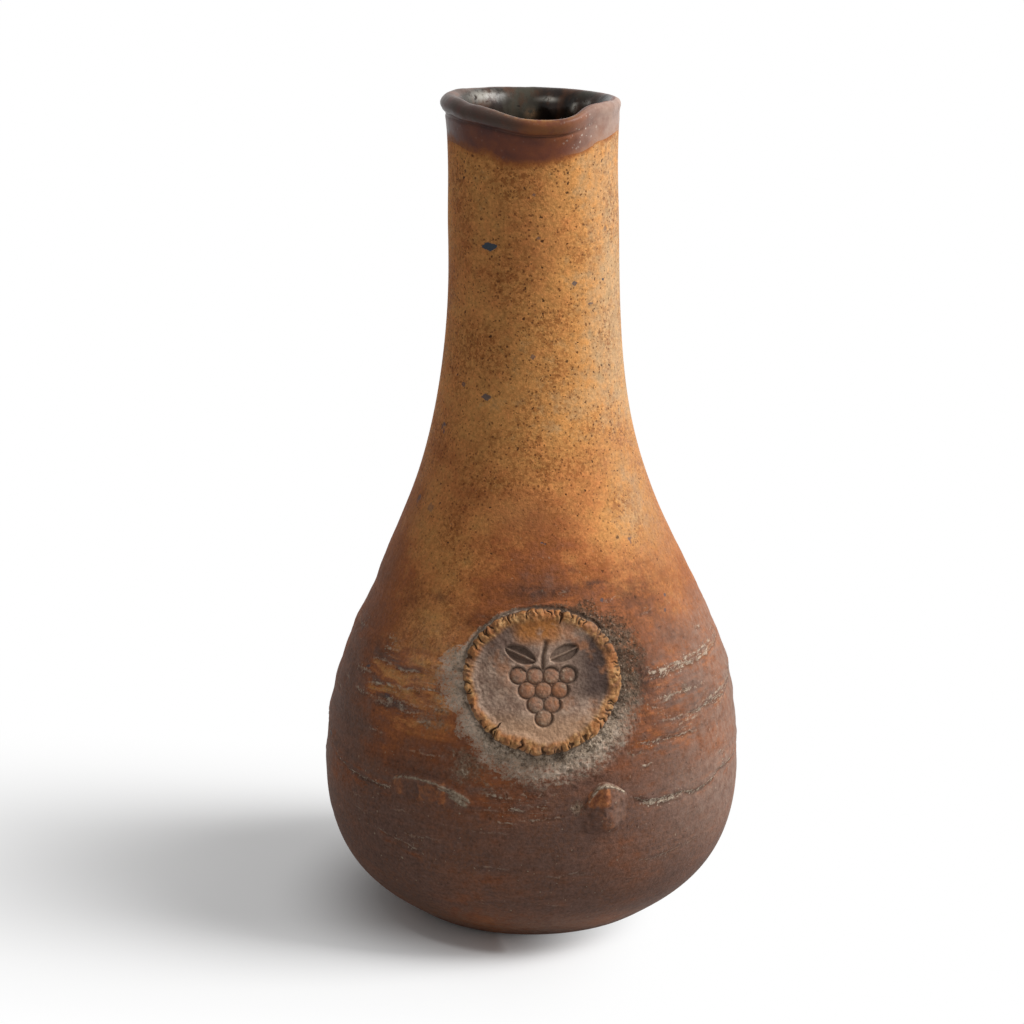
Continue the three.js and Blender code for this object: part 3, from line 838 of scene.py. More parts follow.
# The wall's grid: columns b = u - k sin(u) crowd to the front, rows follow the section. The lift off
# the section is the swell, the tears and a fine roughness, all fading under the glaze.
def bodyPiece():
    u = np.linspace(-np.pi, np.pi, body["columns"], endpoint=False)
    columns = np.degrees(u - body["frontCrowding"] * np.sin(u))
    rises = np.concatenate([np.linspace(*stretch) for stretch in body["rows"]])
    lengths = np.concatenate([
        [0, 12, 24, 32, 35.6], outsideS(rises), np.linspace(outsideS(242.5), crestS + 6, 10),
        np.linspace(crestS + 12, endS - 60, 12), [endS - 40, endS - 20, endS]])
    bearing, s = np.meshgrid(columns, lengths)
    height = heightAt(s)
    outer = (s > 37) & (s < outsideS(242))
    clayMarks, tearMarks, relief = wallMarks(bearing, height)
    rough = 0.10 * wallNoise(bearing, height, 150, 2.6, 31, 2) * within(height, 30, 50, 105, 125)
    layers = 0.20 * wallNoise(bearing, height, 70, 1.7, 33, 2)
    layers = layers + 0.14 * wallNoise(bearing, height, 200, 1.3, 36)
    swell = wallSwell(bearing, height) + relief + rough + layers * clayMarks["torn"]
    lift = np.where(outer, swell, -0.3 * (s > 37))
    marks = {
        **clayMarks, **tearMarks, "ash": patches(bearing, height, body["ash"]),
        "glazeRise": np.where(s < crestS, height - eased(bearing, glazeEdge), 20),
    }
    piece = gridPiece("clayBody", onWall(bearing, s, lift), stonewareMaterial(), marks)
    fit(piece, "thrown_body")


# A flake's patch: 1 inside a blunt lozenge of the given half-sizes about its centre, with a broken edge
def flakeGroup():
    given = newGroup("slateFlake", ("Vector", "Centre", "Inverse Size"), ("Mask",))
    away = vectorMaths("SUBTRACT", {0: given["Vector"], 1: given["Centre"]})
    scaled = vectorMaths("MULTIPLY", {0: away, 1: given["Inverse Size"]})
    off = vectorMaths("LENGTH", {0: scaled}, "Value")
    for direction in ((0.60, 0, 0.85), (-0.85, 0, 0.60)):
        across = vectorMaths("DOT_PRODUCT", {0: scaled, 1: direction}, "Value")
        off = maths("MAXIMUM", off, maths("ABSOLUTE", across) * 1.3)
    edge = noise(given["Vector"], 1.6, 2, 0.7)
    return endGroup({"Mask": span(blendSum(edge, 1.2, off), 1.72, 1.5)})


slateFlake = flakeGroup()


# All the slate flakes of the wall as one mask
def flakeMask(point):
    total = 0.0
    for bearing, height, wide, tall, hides in body["flakes"]:
        bearing = np.array(bearing)
        centre = onWall(bearing, outsideS(height), wallSwell(bearing, height)) * millimetre
        sizes = 2 / (np.array([wide, wide, tall]) * millimetre)
        inputs = {"Vector": point, "Centre": tuple(centre), "Inverse Size": tuple(sizes)}
        total = maths("MAXIMUM", total, useGroup(slateFlake, inputs)["Mask"] * hides)
    return total


# Bare stoneware: fired clay, the glaze's fringe at the top, ash in patches and pale broken lines in
# the tears, each with the shadow of its lap beside it
def stonewareMaterial():
    material, point = newMaterial("bareStoneware")
    tints = body["tints"]
    clay = markedClay(point)
    edge = fringed(point, clay)
    off = blendSum(noise(point, 1.3, 4, 0.7) - 0.5, 1.8, mark("tearDistance"))
    apart, ashy = maths("ABSOLUTE", off), mark("tearAsh")
    broken = span(noise(point, 1.9, 4, 0.78), 0.42, 0.60)
    core = span(apart - maths("POWER", ashy, 2.0) * 0.2, 0.42, 0.08) * ashy * broken
    lapShade = span(maths("ABSOLUTE", off + 0.7), 0.6, 0.1) * ashy
    near = span(apart, 2.4, 0.2) * ashy
    grit = specks(point, 0.9, 0.5, 1.3) * near * 0.75
    crust = ashOn(point, blendSum(near, 0.14, mark("ash")))
    chalk = mixColour(noise(point, 0.8, 2), *tints["chalk"])
    colour = over(
        edge["Color"], (crust["Mask"] * 0.85, crust["Color"]), (lapShade * 0.34, tints["lapShade"]),
        (maths("MAXIMUM", core * 0.85, grit), chalk), (flakeMask(point), clayLook["flake"]))
    dusty = mixValue(crust["Mask"], edge["Roughness"], 0.85)
    height = blendSum(crust["Height"], 0.8, clay["Height"] * (1.0 - edge["Glaze"]))
    finishMaterial(colour, dusty, blendSum(core, 0.6, height), bumpDepth=0.30, specular=0.07)
    return material


bodyPiece()


# Rim glaze

rimGlaze = {
    "columns": 300, "outerRows": 46, "innerRows": 44, "underRows": 10,
    "thickness": 0.55, "under": -0.15, "insideReach": 15, "insideTaper": 4,
    "build": 12,                     # mm above its edge at which it is full
    "creaseHeight": 244.6, "creaseWidth": 0.6,
    # depth in mm of the crease under the roll, by bearing; it also sets how strong the painted shade there
    # is
    "crease": [(-180, 0.25), (-100, 0.65), (-30, 0.7), (10, 0.75), (34, 0.3), (50, 0.05), (100, 0.05),
               (180, 0.25)],
    # how far past the crest the dark pooled glaze begins, in mm, by bearing
    "poolStart": [(-180, -0.8), (-140, -0.2), (-110, 1.6), (-70, 1.8), (-40, 0.6), (0, 0.8), (70, 0.8),
                  (110, -0.4), (180, -0.8)],
    # runs inside that stopped below the rim, as (bearing, height, half-width and rise in mm)
    "runs": [(165, 243.8, 2.4, 1.6), (143, 243.4, 2.0, 1.3), (186, 241, 3.5, 0.7),
             (124, 244.5, 1.8, 0.8), (-150, 242, 3.0, 0.4)],
    # painted highlights and thin patches inside, as (bearing, height, half-width in degrees, half-height in
    # mm)
    "paintedHighlight": [(-136, 247.3, 17, 1.4), (141, 245.2, 2.4, 1.5), (167, 246.4, 7, 0.6), (128, 246.6, 6, 0.6)],
    "thin": [(181, 242.4, 5, 1.2)],
    # blisters as (bearing, height, width in mm)
    "blisters": [(21, 243.5, 2.0), (29, 242.5, 2.6), (38, 240.5, 2.2), (33, 244.5, 1.6)],
    "tints": {
        # painted shade: the dark tints for the left of the rim and for its roll
        "warm": (0.25, 0.098, 0.035, 1), "leftShade": (0.075, 0.037, 0.034, 1), "rollShade": (0.085, 0.060, 0.047, 1),
        # painted highlight: the pale tint for the lit right of the rim and a grazing sheen at its left end
        "ruddy": (0.34, 0.105, 0.050, 1), "paintedSheen": (0.42, 0.285, 0.225, 1),
        # crease: painted shade in the crease under the roll
        "crease": (0.030, 0.016, 0.013, 1), "worn": (0.40, 0.200, 0.065, 1),
        # painted highlight inside the bore
        "blister": (0.66, 0.55, 0.46, 1), "paintedHighlight": (0.42, 0.395, 0.350, 1),
        "thin": (0.24, 0.140, 0.075, 1),
    },
}


# Runs of glaze in the bore as (bearing, height, half-width and rise in mm), each a bell a quarter taller
# than it is wide
def glazeRuns(bearing, height, runs):
    total = 0
    for place, level, size, rise in runs:
        across = np.radians(around(bearing - place)) * (pot["neckRadius"] - pot["neckWall"])
        total = total + rise * bell(np.hypot(across, (height - level) * 0.8), size)
    return total


# A skin over the rim: rows follow the section from the glaze's ragged lower edge over the crest into
# the bore, then back under it. It thins to nothing at both edges, so that it grows out of the clay.
def rimGlazePiece():
    bearing = np.linspace(-180, 180, rimGlaze["columns"], endpoint=False)[None, :]
    start = outsideS(eased(bearing, glazeEdge)) - 1.5
    end = crestS + rimGlaze["insideReach"]
    innerShare = np.linspace(1, 2, rimGlaze["innerRows"] + 1)[1:]
    share = np.concatenate([np.linspace(0, 1, rimGlaze["outerRows"]), innerShare])[:, None]
    s = np.where(share < 1, start + (crestS - start) * share, crestS + (end - crestS) * (share - 1))
    rise = np.where(s < crestS, heightAt(s) - eased(bearing, glazeEdge), 20)
    full = rimGlaze["thickness"] * smooth(rise, 0, rimGlaze["build"]) + 0.06 * np.minimum(rise, 0)
    taper = 0.9 * smooth(s, end - rimGlaze["insideTaper"], end)
    full = np.where(s < crestS, full, rimGlaze["thickness"] - taper)
    height = heightAt(s)
    runs = 0.10 * wallNoise(bearing, height, 40, 14, 51, 2) * smooth(rise, 1, 5)
    crease = bell(height - rimGlaze["creaseHeight"], rimGlaze["creaseWidth"])
    runs = runs - crease * eased(bearing, rimGlaze["crease"]) * (s < crestS)
    for bearingAt, heightOf, size in rimGlaze["blisters"]:
        across = np.radians(around(bearing - bearingAt)) * pot["rimRadius"]
        runs = runs + 0.25 * bell(np.hypot(across, height - heightOf), size * 0.45) * (s < crestS)
    inside = within(s, crestS + 0.5, crestS + 3, end - 4, end)
    runs = runs + glazeRuns(bearing, height, rimGlaze["runs"]) * inside
    back = np.linspace(1, 0, rimGlaze["underRows"])[:, None]
    under = start + (end - start) * back
    allS = np.concatenate([np.broadcast_to(s, (len(share), bearing.size)), under])
    lift = np.concatenate([full + runs, np.broadcast_to(rimGlaze["under"] - 0.2 * back, under.shape)])
    allBearing = np.broadcast_to(bearing, allS.shape)
    allHeight, onOuter = heightAt(allS), allS < crestS
    fromLip = around(allBearing - lip["bearing"])
    creaseDepth = eased(allBearing, rimGlaze["crease"])
    marks = {
        "glazeRise": np.where(onOuter, allHeight - eased(allBearing, glazeEdge), 20),
        "pool": smooth(allS - crestS - eased(allBearing, rimGlaze["poolStart"]), 0, 1.4),
        "warm": bell(fromLip - 1, 19) * bell(allHeight - 246.8, 2.4) * onOuter,
        # painted shade over the left of the rim, and on its roll below
        "leftShade": bell(around(allBearing + 62), 24) * onOuter,
        "roll": smooth(allHeight, 245.0, 246.2) * within(fromLip, -6, -24, -125, -165)
        * (allS < crestS + 3.5),
        "ruddy": bell(fromLip + 2, 22) * bell(allHeight - 239, 3.5) * onOuter,
        "wear": bell(allS - crestS + 0.2, 0.7) * bell(fromLip + 4, 24),
        # painted shade in the crease under the roll
        "crease": bell(allHeight - rimGlaze["creaseHeight"], 0.55) * creaseDepth * onOuter,
        "blister": bell(around(allBearing - 33), 14) * bell(allHeight - 244, 5) * onOuter,
        # painted highlight over the lit right of the rim, and a painted sheen at its left end
        "paintedSheen": smooth(np.sin(np.radians(allBearing)), 0.25, 0.9) * onOuter
        + 0.4 * bell(around(allBearing + 96), 9) * bell(allHeight - 246.5, 3),
    }
    marks.update(wallMarks(allBearing, allHeight)[0])
    # painted highlights, and thin patches of glaze
    for label in ("paintedHighlight", "thin"):
        spots = [(*spot, 1) for spot in rimGlaze[label]]
        marks[label] = patches(allBearing, allHeight, spots) * ~onOuter
    points = onWall(allBearing, allS, lift)
    piece = gridPiece("rimGlaze", points, rimGlazeMaterial(), marks, poles=False, wrap=True)
    fit(piece, "rim_glaze")


# Satin purple-brown glaze, burnt orange at its edge and over the lip, dark and glossy inside, with a painted
# highlight on its right
def rimGlazeMaterial():
    material, point = newMaterial("rimGlaze")
    tints = rimGlaze["tints"]
    clay = markedClay(point)
    edge = fringed(point, clay)
    pooled, pool = useGroup(pooledGlaze, {"Vector": point}), mark("pool")
    warm = mark("warm") * span(noise(point, 3.2, 4, 0.65), 0.26, 0.55)
    # painted shade on the roll at the left
    rollShade = mark("roll") * span(noise(point, 4.5, 4, 0.65), 0.25, 0.55)
    ruddy = mark("ruddy") * noise(point, 4.0, 4, 0.65)
    # painted highlight and sheen
    paintedSheen = mark("paintedSheen") * blendSum(noise(point, 3.4, 4, 0.65), 1.3, 0.16)
    worn = mark("wear") * span(noise(point, 1.6, 3, 0.6), 0.35, 0.6)
    blisters = specks(point, 1.5, 0.7, 1.0) * blendSum(mark("blister"), 0.85, 0.05)
    clouded = span(noise(point, 2.2, 4, 0.7), 0.34, 0.56)
    colour = over(
        # painted shade on the left of the rim and on its roll
        edge["Color"], (warm * 0.9, tints["warm"]), (mark("leftShade") * 0.5, tints["leftShade"]),
        # painted highlight on the right of the rim
        (rollShade * 0.85, tints["rollShade"]), (ruddy * 0.6, tints["ruddy"]), (paintedSheen, tints["paintedSheen"]),
        # painted shade in the crease under the roll
        (mark("crease") * 0.8, tints["crease"]), (worn * 0.8, tints["worn"]), (blisters, tints["blister"]),
        # painted highlights inside the bore
        (pool, pooled["Color"]), (mark("paintedHighlight") * clouded, tints["paintedHighlight"]),
        (mark("thin") * clouded, tints["thin"]))
    rough = mixValue(pool, edge["Roughness"], pooled["Roughness"])
    height = blendSum(clay["Height"], 1.0 - edge["Glaze"], noise(point, 2.4, 3, 0.6) * 0.5)
    finishMaterial(colour, rough, height, bumpDepth=0.22, specular=0.11)
    return material


rimGlazePiece()


# Liner glaze

liner = {
    "columns": 260, "rows": 170, "underRows": 40, "thickness": 0.65, "under": 0.15, "edge": 0.50,
    # mm past the crest at which it starts, inside the rim's glaze, and that it takes to be full
    "start": 9.0, "rise": 6.0,
    "throwingRise": 0.35, "throwingPitch": 7.0, "lumps": 0.3,
    # runs on the wall, as (bearing, height, half-width and rise in mm)
    "runs": [(186, 226, 4.0, 0.8), (136, 220, 3.0, 0.8), (-150, 214, 3.0, 0.6), (20, 216, 3.0, 0.7)],
}


# The bore's skin: rows from the middle of the floor up behind the glaze, over its top edge, and down
# its face. The face has the spiral left by the fingers, rise * sin(2 pi (height / pitch + turn)), and lumps.
def linerPiece():
    bearing = np.linspace(-180, 180, liner["columns"], endpoint=False)[None, :]
    start = crestS + liner["start"]
    face = start + (endS - start) * np.linspace(0, 1, liner["rows"])[:, None] ** 1.25
    behind = np.linspace(endS, start, liner["underRows"])[:, None]
    height = heightAt(face)
    down = smooth(face, start, start + 8)
    spiral = np.sin(2 * np.pi * (height / liner["throwingPitch"] + bearing / 360))
    centre = smooth(face, endS - 6, endS - 30)
    lumps = liner["lumps"] * wallNoise(bearing, face, 9, 14, 61)
    lumps = lumps + glazeRuns(bearing, height, liner["runs"])
    emerging = smooth(face, start, start + liner["rise"])
    lift = liner["edge"] + (liner["thickness"] - liner["edge"]) * emerging
    lift = lift + (liner["throwingRise"] * spiral * down + lumps * emerging) * centre
    behind = np.broadcast_to(behind, (liner["underRows"], bearing.size))
    s = np.concatenate([behind, np.broadcast_to(face, lift.shape)])
    lift = np.concatenate([np.full((liner["underRows"], bearing.size), liner["under"]), lift])
    allBearing = np.broadcast_to(bearing, s.shape)
    piece = gridPiece("linerGlaze", onWall(allBearing, s, lift), linerMaterial(), {})
    fit(piece, "liner_glaze")


def linerMaterial():
    material, point = newMaterial("linerGlaze")
    pooled = useGroup(pooledGlaze, {"Vector": point})
    finishMaterial(pooled["Color"], pooled["Roughness"], pooled["Height"], bumpDepth=0.35, specular=0.3)
    return material


linerPiece()


# Pads on the wall

# A pad in polar rows about its middle, from the middle of its back out to the edge and in over its
# top. u runs round the wall to the right and v up it, in mm; topLift(u, v, share, turn) is its height.
def padGrid(place, reach, backShares, topShares, topLift):
    turn = np.linspace(-180, 180, place["spokes"], endpoint=False)[None, :]
    shares = np.concatenate([backShares, topShares])[:, None]
    edge = reach(turn)
    u, v = shares * edge * np.cos(np.radians(turn)), shares * edge * np.sin(np.radians(turn))
    isTop = np.arange(len(shares))[:, None] >= len(backShares)
    turn = np.broadcast_to(turn, u.shape)
    shares = np.broadcast_to(shares, u.shape)
    s = outsideS(place["height"]) + v
    bearing = place["bearing"] + np.degrees(u / radiusAt(s))
    lift = np.where(isTop, topLift(u, v, shares, turn), place["backLift"])
    points = onWall(bearing, s, lift + wallSwell(bearing, heightAt(s)))
    return points, u, v, shares, turn


# Bearing and height of the wall under a pad's point
def underPad(place, u, v):
    s = outsideS(place["height"]) + v
    return place["bearing"] + np.degrees(u / radiusAt(s)), heightAt(s)


# Slip halo round the medallion

slip = {
    "bearing": 2.5, "height": 87.5, "wide": 47, "tall": 43, "spokes": 400,
    # how far it shows past the medallion, as (direction, mm), counted from the right, anticlockwise
    "margin": [(-180, 20), (-170, 14), (-158, 9.5), (-140, 10), (-120, 13), (-95, 15.5), (-50, 17),
               (-15, 16), (25, 14.5), (50, 9), (75, 2.6), (105, 2.0), (135, 1.8), (156, 2.8), (169, 11),
               (180, 20)],
    "ragged": 2.6, "thickness": 0.75, "crumbs": 0.36, "backLift": -0.7, "gap": 0.4, "sunk": 1.1,
    "tints": {
        "smear": [(0.60, 0.480, 0.365, 1), (0.88, 0.735, 0.585, 1)],
        "shade": [(0.055, 0.040, 0.028, 1), (0.125, 0.091, 0.064, 1)],
        # gap: painted shadow in the gap along the medallion
        "grit": (0.06, 0.045, 0.033, 1), "grain": (0.64, 0.54, 0.42, 1), "gap": (0.045, 0.029, 0.021, 1),
    },
}


# Edge of an oval `wide` by `tall` in a direction
def ovalReach(turn, wide, tall):
    return 1 / np.hypot(np.cos(np.radians(turn)) * 2 / wide, np.sin(np.radians(turn)) * 2 / tall)


# A ragged patch that thins from under the medallion to below the clay's surface, with crumbs on it
# that are coarser to the right and below, where the ash lies
def slipPiece():
    def reach(turn):
        margin = eased(turn, slip["margin"])
        rag = turnNoise(turn, 44, 71) + 0.6 * turnNoise(turn, 110, 72)
        rag = slip["ragged"] * rag * (0.15 + 0.85 * smooth(margin, 1, 7))
        return ovalReach(turn, slip["wide"], slip["tall"]) + margin + rag

    def pastMedallion(share, turn):
        inner = ovalReach(turn, slip["wide"], slip["tall"])
        return share * reach(turn) - inner, reach(turn) - inner

    def top(u, v, share, turn):
        past, width = pastMedallion(share, turn)
        out = np.clip(past / np.maximum(width, 0.5), 0, 1)
        coarse = 0.35 + 0.65 * smooth(np.cos(np.radians(turn + 45)), -0.6, 0.5)
        crumbs = padNoise(u, v, 1.1, 73) + 0.7 * padNoise(u, v, 0.55, 74)
        sheet = slip["thickness"] * (1 - out) ** 1.3 - 0.3 * smooth(out, 0.45, 1)
        sheet = sheet - slip["sunk"] * smooth(past, -3, -7)
        trench = slip["gap"] * bell(past - 0.3, 0.5)
        return sheet - trench + slip["crumbs"] * coarse * crumbs * (1 - 0.6 * out) * (past > -1.5)

    backShares = np.array([0, 0.5, 0.9, 1])
    topShares = np.concatenate([np.linspace(1, 0.68, 62), [0.6, 0.4, 0.2, 0]])
    points, u, v, share, turn = padGrid(slip, reach, backShares, topShares, top)
    past, width = pastMedallion(share, turn)
    out = np.clip(past / np.clip(width - 0.6, 0.8, 12), 0, 1)
    coarse = smooth(np.cos(np.radians(turn + 45)), -0.5, 0.5)
    shaded = smooth(np.cos(np.radians(turn - 40)), 0.05, 0.75)
    # gap: where the painted shadow along the medallion lies
    marks = {"spread": out, "coarse": coarse, "shaded": shaded, "gap": bell(past - 0.2, 0.55)}
    marks.update(wallMarks(*underPad(slip, u, v))[0])
    piece = gridPiece("slipHalo", points, slipMaterial(), marks)
    fit(piece, "slip_bed")


# Grey-brown slip, smooth on the left, with pale and dark ash grains to the right and below, thinning
# out over the clay at its edge
# The gap along the medallion carries a painted shadow.
def slipMaterial():
    material, point = newMaterial("ashSlip")
    tints = slip["tints"]
    clay = markedClay(point)
    spread, shaded = mark("spread"), mark("shaded")
    mottle = span(noise(point, 3.5, 4, 0.65), 0.3, 0.7)
    wash = mixColour(shaded, mixColour(mottle, *tints["smear"]), mixColour(mottle, *tints["shade"]))
    ragged = noise(flattened(point, 2.2), 5.0, 5, 0.75) - 0.5
    grit = noise(point, 0.9, 4, 0.8) - 0.5
    thin = span(blendSum(grit, 2.4, blendSum(ragged, 1.3, spread)), 0.95, 0.08) * span(spread, 0.95, 0.7)
    crust = ashOn(point, blendSum(mark("coarse"), 0.26, blendSum(spread, -0.40, 0.32)))
    gritty = mixColour(shaded * 0.62, crust["Color"], tints["grit"])
    colour = over(clay["Color"], (thin * 0.8, wash), (crust["Mask"] * 0.9, gritty))
    colour = toned(colour, blendSum(grit * thin, 3.4, 1.0))
    grains = specks(point, 0.65, 0.5, 1.25) * blendSum(shaded, -0.5, 0.95) * thin
    # painted shadow in the gap along the medallion
    colour = over(colour, (grains, tints["grain"]), (mark("gap") * 0.7, tints["gap"]))
    height = blendSum(crust["Height"], 1.2, clay["Height"] * 0.8)
    finishMaterial(colour, 0.82, height, bumpDepth=0.35, specular=0.06)
    return material


slipPiece()


# Medallion

medallion = {
    "bearing": 2.5, "height": 87.5, "wide": 47, "tall": 43, "spokes": 620,
    "backLift": -0.4, "face": 2.0, "crest": 3.3, "edge": 0.4, "borderWidth": 5.8, "dish": 0.6,
    # rows from the edge in, as (from, to, how many) in shares of the reach, closest over the border
    "rows": [(1, 0.985, 4), (0.975, 0.74, 36), (0.73, 0.012, 62), (0, 0, 1)],
    "smallNicks": 66, "nickSeed": 5,
    # deep cracks across the border, as (direction, depth in mm)
    "cracks": [(73, 0.9), (118, 0.6), (148, 0.7), (170, 0.5), (193, 0.5), (225, 1.1), (251, 0.6),
               (285, 0.5), (339, 0.5), (8, 0.4)],
    # a pressed bunch of grapes: berries by row as (how many, height), two leaves as (x, y, length, width,
    # tilt in degrees) and a stem
    "berryRows": [(4, 1.6), (3, -2.6), (2, -6.7), (1, -10.6)], "berryRadius": 2.35, "berryPitch": 4.7,
    "leaves": [(-6.2, 7.6, 9.5, 5.0, -24), (6.2, 7.9, 9.0, 4.8, 22)],
    "stem": [(0.0, 3.0), (0.1, 7.5), (1.2, 11.8)],
    "pressDepth": 0.95, "berryRise": 0.8,
    "tints": {
        "face": [(0.245, 0.152, 0.108, 1), (0.430, 0.300, 0.222, 1)], "darkTop": (0.085, 0.048, 0.040, 1),
        "berry": (0.30, 0.120, 0.060, 1), "warmMiddle": (0.40, 0.170, 0.080, 1),
        # painted shadow: the dark tint for the right of the face, where the border would shade it
        "borderShadow": (0.052, 0.031, 0.026, 1), "warmTop": (0.42, 0.165, 0.045, 1),
        "rust": (0.34, 0.140, 0.060, 1), "paleFoot": (0.52, 0.300, 0.170, 1),
        "gold": [(0.22, (0.11, 0.050, 0.030)), (0.38, (0.26, 0.112, 0.045)), (0.52, (0.41, 0.200, 0.075)),
                 (0.66, (0.60, 0.350, 0.155)), (0.85, (0.74, 0.510, 0.300))],
        "bruise": (0.15, 0.075, 0.050, 1), "rustyGold": (0.46, 0.165, 0.055, 1),
        # painted shade: these darken what is pressed in and the nicks in the border
        "pressed": (0.09, 0.058, 0.042, 1), "nick": (0.045, 0.024, 0.014, 1),
        # painted shadow round the outer edge of the medallion
        "edge": (0.06, 0.040, 0.028, 1),
    },
}


# Distance in mm from a direction to the nearest nick or crack on the border, and that nick's depth
def nickField(turn, radius):
    draw = np.random.default_rng(medallion["nickSeed"])
    count = medallion["smallNicks"]
    places = (np.arange(count) + draw.uniform(-0.42, 0.42, count)) * 360 / count
    depths = draw.uniform(0.10, 0.60, count)
    places = np.concatenate([places, [crack[0] for crack in medallion["cracks"]]])
    depths = np.concatenate([depths, [crack[1] for crack in medallion["cracks"]]])
    off = np.abs(around(turn[..., None] - places)) * np.radians(1) * radius[..., None]
    closest = np.argmin(off / (0.4 + depths), -1)
    pick = lambda values: np.take_along_axis(values, closest[..., None], -1)[..., 0]
    return pick(off), depths[closest]


# How deep the grapes are pressed, from 0 to 1: a sunk field that follows them, out of which each berry
# rises as a dome, sqrt(1 - (off / radius)^2), with almond leaves that keep a standing vein, and a stem
def grapePress(u, v):
    field, domes = np.zeros(u.shape), np.zeros(u.shape)
    radius = medallion["berryRadius"]
    for count, height in medallion["berryRows"]:
        for place in (np.arange(count) - (count - 1) / 2) * medallion["berryPitch"]:
            off = np.hypot(u - place, v - height) / radius
            field = np.maximum(field, smooth(off, 1.32, 1.05))
            domes = np.maximum(domes, np.sqrt(np.clip(1 - off ** 2, 0, 1)))
    press = field - medallion["berryRise"] * domes
    for x, y, length, width, tilt in medallion["leaves"]:
        along = (u - x) * np.cos(np.radians(tilt)) + (v - y) * np.sin(np.radians(tilt))
        across = (v - y) * np.cos(np.radians(tilt)) - (u - x) * np.sin(np.radians(tilt))
        half = width / 2 * np.sqrt(np.clip(1 - (2 * along / length) ** 2, 0, 1)) ** 1.3
        leaf = smooth(np.abs(across) - half, 0.2, -0.35) * (np.abs(along) < length / 2)
        press = np.maximum(press, leaf * (1 - 0.75 * bell(across, 0.35)))
    (x0, y0), (x1, y1), (x2, y2) = medallion["stem"]
    line = np.interp(v, [y0, y1, y2], [x0, x1, x2])
    stem = bell(u - line, 0.7) * within(v, y0 - 0.5, y0 + 0.5, y2 - 0.5, y2 + 0.5)
    return np.maximum(press, stem), domes


# A disc of clay: the border is a half-round bead, nicked and cracked across, and the face is sunk
# inside it with the motif pressed in
def medallionPiece():
    def reach(turn):
        oval = ovalReach(turn, medallion["wide"], medallion["tall"])
        off, depth = nickField(turn, oval)
        return oval + 0.45 * turnNoise(turn, 30, 81) - 0.55 * depth * bell(off, 0.75)

    def parts(u, v, share, turn):
        oval = ovalReach(turn, medallion["wide"], medallion["tall"])
        uneven = 0.14 * turnNoise(turn, 14, 82) + 0.16 * turnNoise(turn, 46, 90)
        wide = medallion["borderWidth"] * (1 + uneven + 0.22 * bell(around(turn + 28), 26))
        inward = (1 - share) * reach(turn)
        across = np.clip(inward / wide, 0, 1)
        outerRise = np.sin(np.pi / 2 * np.clip(across / 0.36, 0, 1)) ** 0.8
        innerFall = 0.5 + 0.5 * np.cos(np.pi * np.clip((across - 0.36) / 0.64, 0, 1))
        off, depth = nickField(turn + 2.2 * padNoise(u, v, 1.2, 83) + 1.5 * padNoise(u, v, 3.5, 89), oval)
        border = np.where(across < 0.36, outerRise, innerFall) * (0.74 + 0.26 * smooth(off, 0, 1.4))
        reachIn = wide * (0.20 + 0.62 * np.clip(depth, 0, 1) ** 1.5)
        nick = bell(off, 0.16 + 0.16 * depth) * smooth(inward, reachIn + 0.8, reachIn - 0.8) * depth
        onFace = smooth(inward, wide, wide + 1.2)
        press, domes = grapePress(u, v)
        return border, nick, press * onFace, inward, domes * onFace

    def top(u, v, share, turn):
        border, nick, press, inward, domes = parts(u, v, share, turn)
        rise = (medallion["crest"] - medallion["face"]) * border
        lumps = 0.42 * padNoise(u, v, 3.0, 84) + 0.22 * padNoise(u, v, 1.4, 87)
        lumps = lumps + 0.12 * padNoise(u, v, 0.65, 88)
        crumble = lumps * border + 0.09 * padNoise(u, v, 0.7, 85)
        dish = medallion["dish"] * (1 - np.clip(np.hypot(u / 19, v / 17), 0, 1) ** 2)
        edge = (medallion["face"] - medallion["edge"]) * smooth(inward, 0.9, 0)
        uneven = 0.18 * padNoise(u, v, 9, 86)
        raised = medallion["face"] + rise + crumble + uneven
        return raised - dish - edge - nick - medallion["pressDepth"] * press

    backShares = np.array([0, 0.5, 0.93, 0.99])
    topShares = np.concatenate([np.linspace(*stretch) for stretch in medallion["rows"]])
    points, u, v, share, turn = padGrid(medallion, reach, backShares, topShares, top)
    border, nick, press, inward, domes = parts(u, v, share, turn)
    marks = {
        "border": smooth(border, 0.15, 0.7) * smooth(inward, 6.0, 3.8),
        # nick: where painted shade darkens the nicks in the border
        "nick": np.clip(nick * 2.2, 0, 1), "press": press,
        "berry": smooth(domes, 0.1, 0.6), "darkTop": smooth(v, 3, 10) * smooth(u, 1, -5),
        # painted shadow of the border over the right of the face
        "borderShadow": smooth(u, 3, 15) * within(v, -9, -3, 10, 15),
        "ashSide": smooth(np.cos(np.radians(turn - 12)), 0.35, 0.95) * smooth(inward, 2.6, 0.8),
        "warmTop": smooth(v, 9, 14) * smooth(np.abs(u + 1), 9, 4), "paleFoot": smooth(v, -7, -14),
        "warmMiddle": bell(v + 1.5, 3.5) * within(u, -15, -8, 3, 11),
        # edge: where the painted shadow round the outer edge lies
        "edge": smooth(inward, 0.9, 0.1),
    }
    piece = gridPiece("clayMedallion", points, medallionMaterial(), marks)
    fit(piece, "medallion")
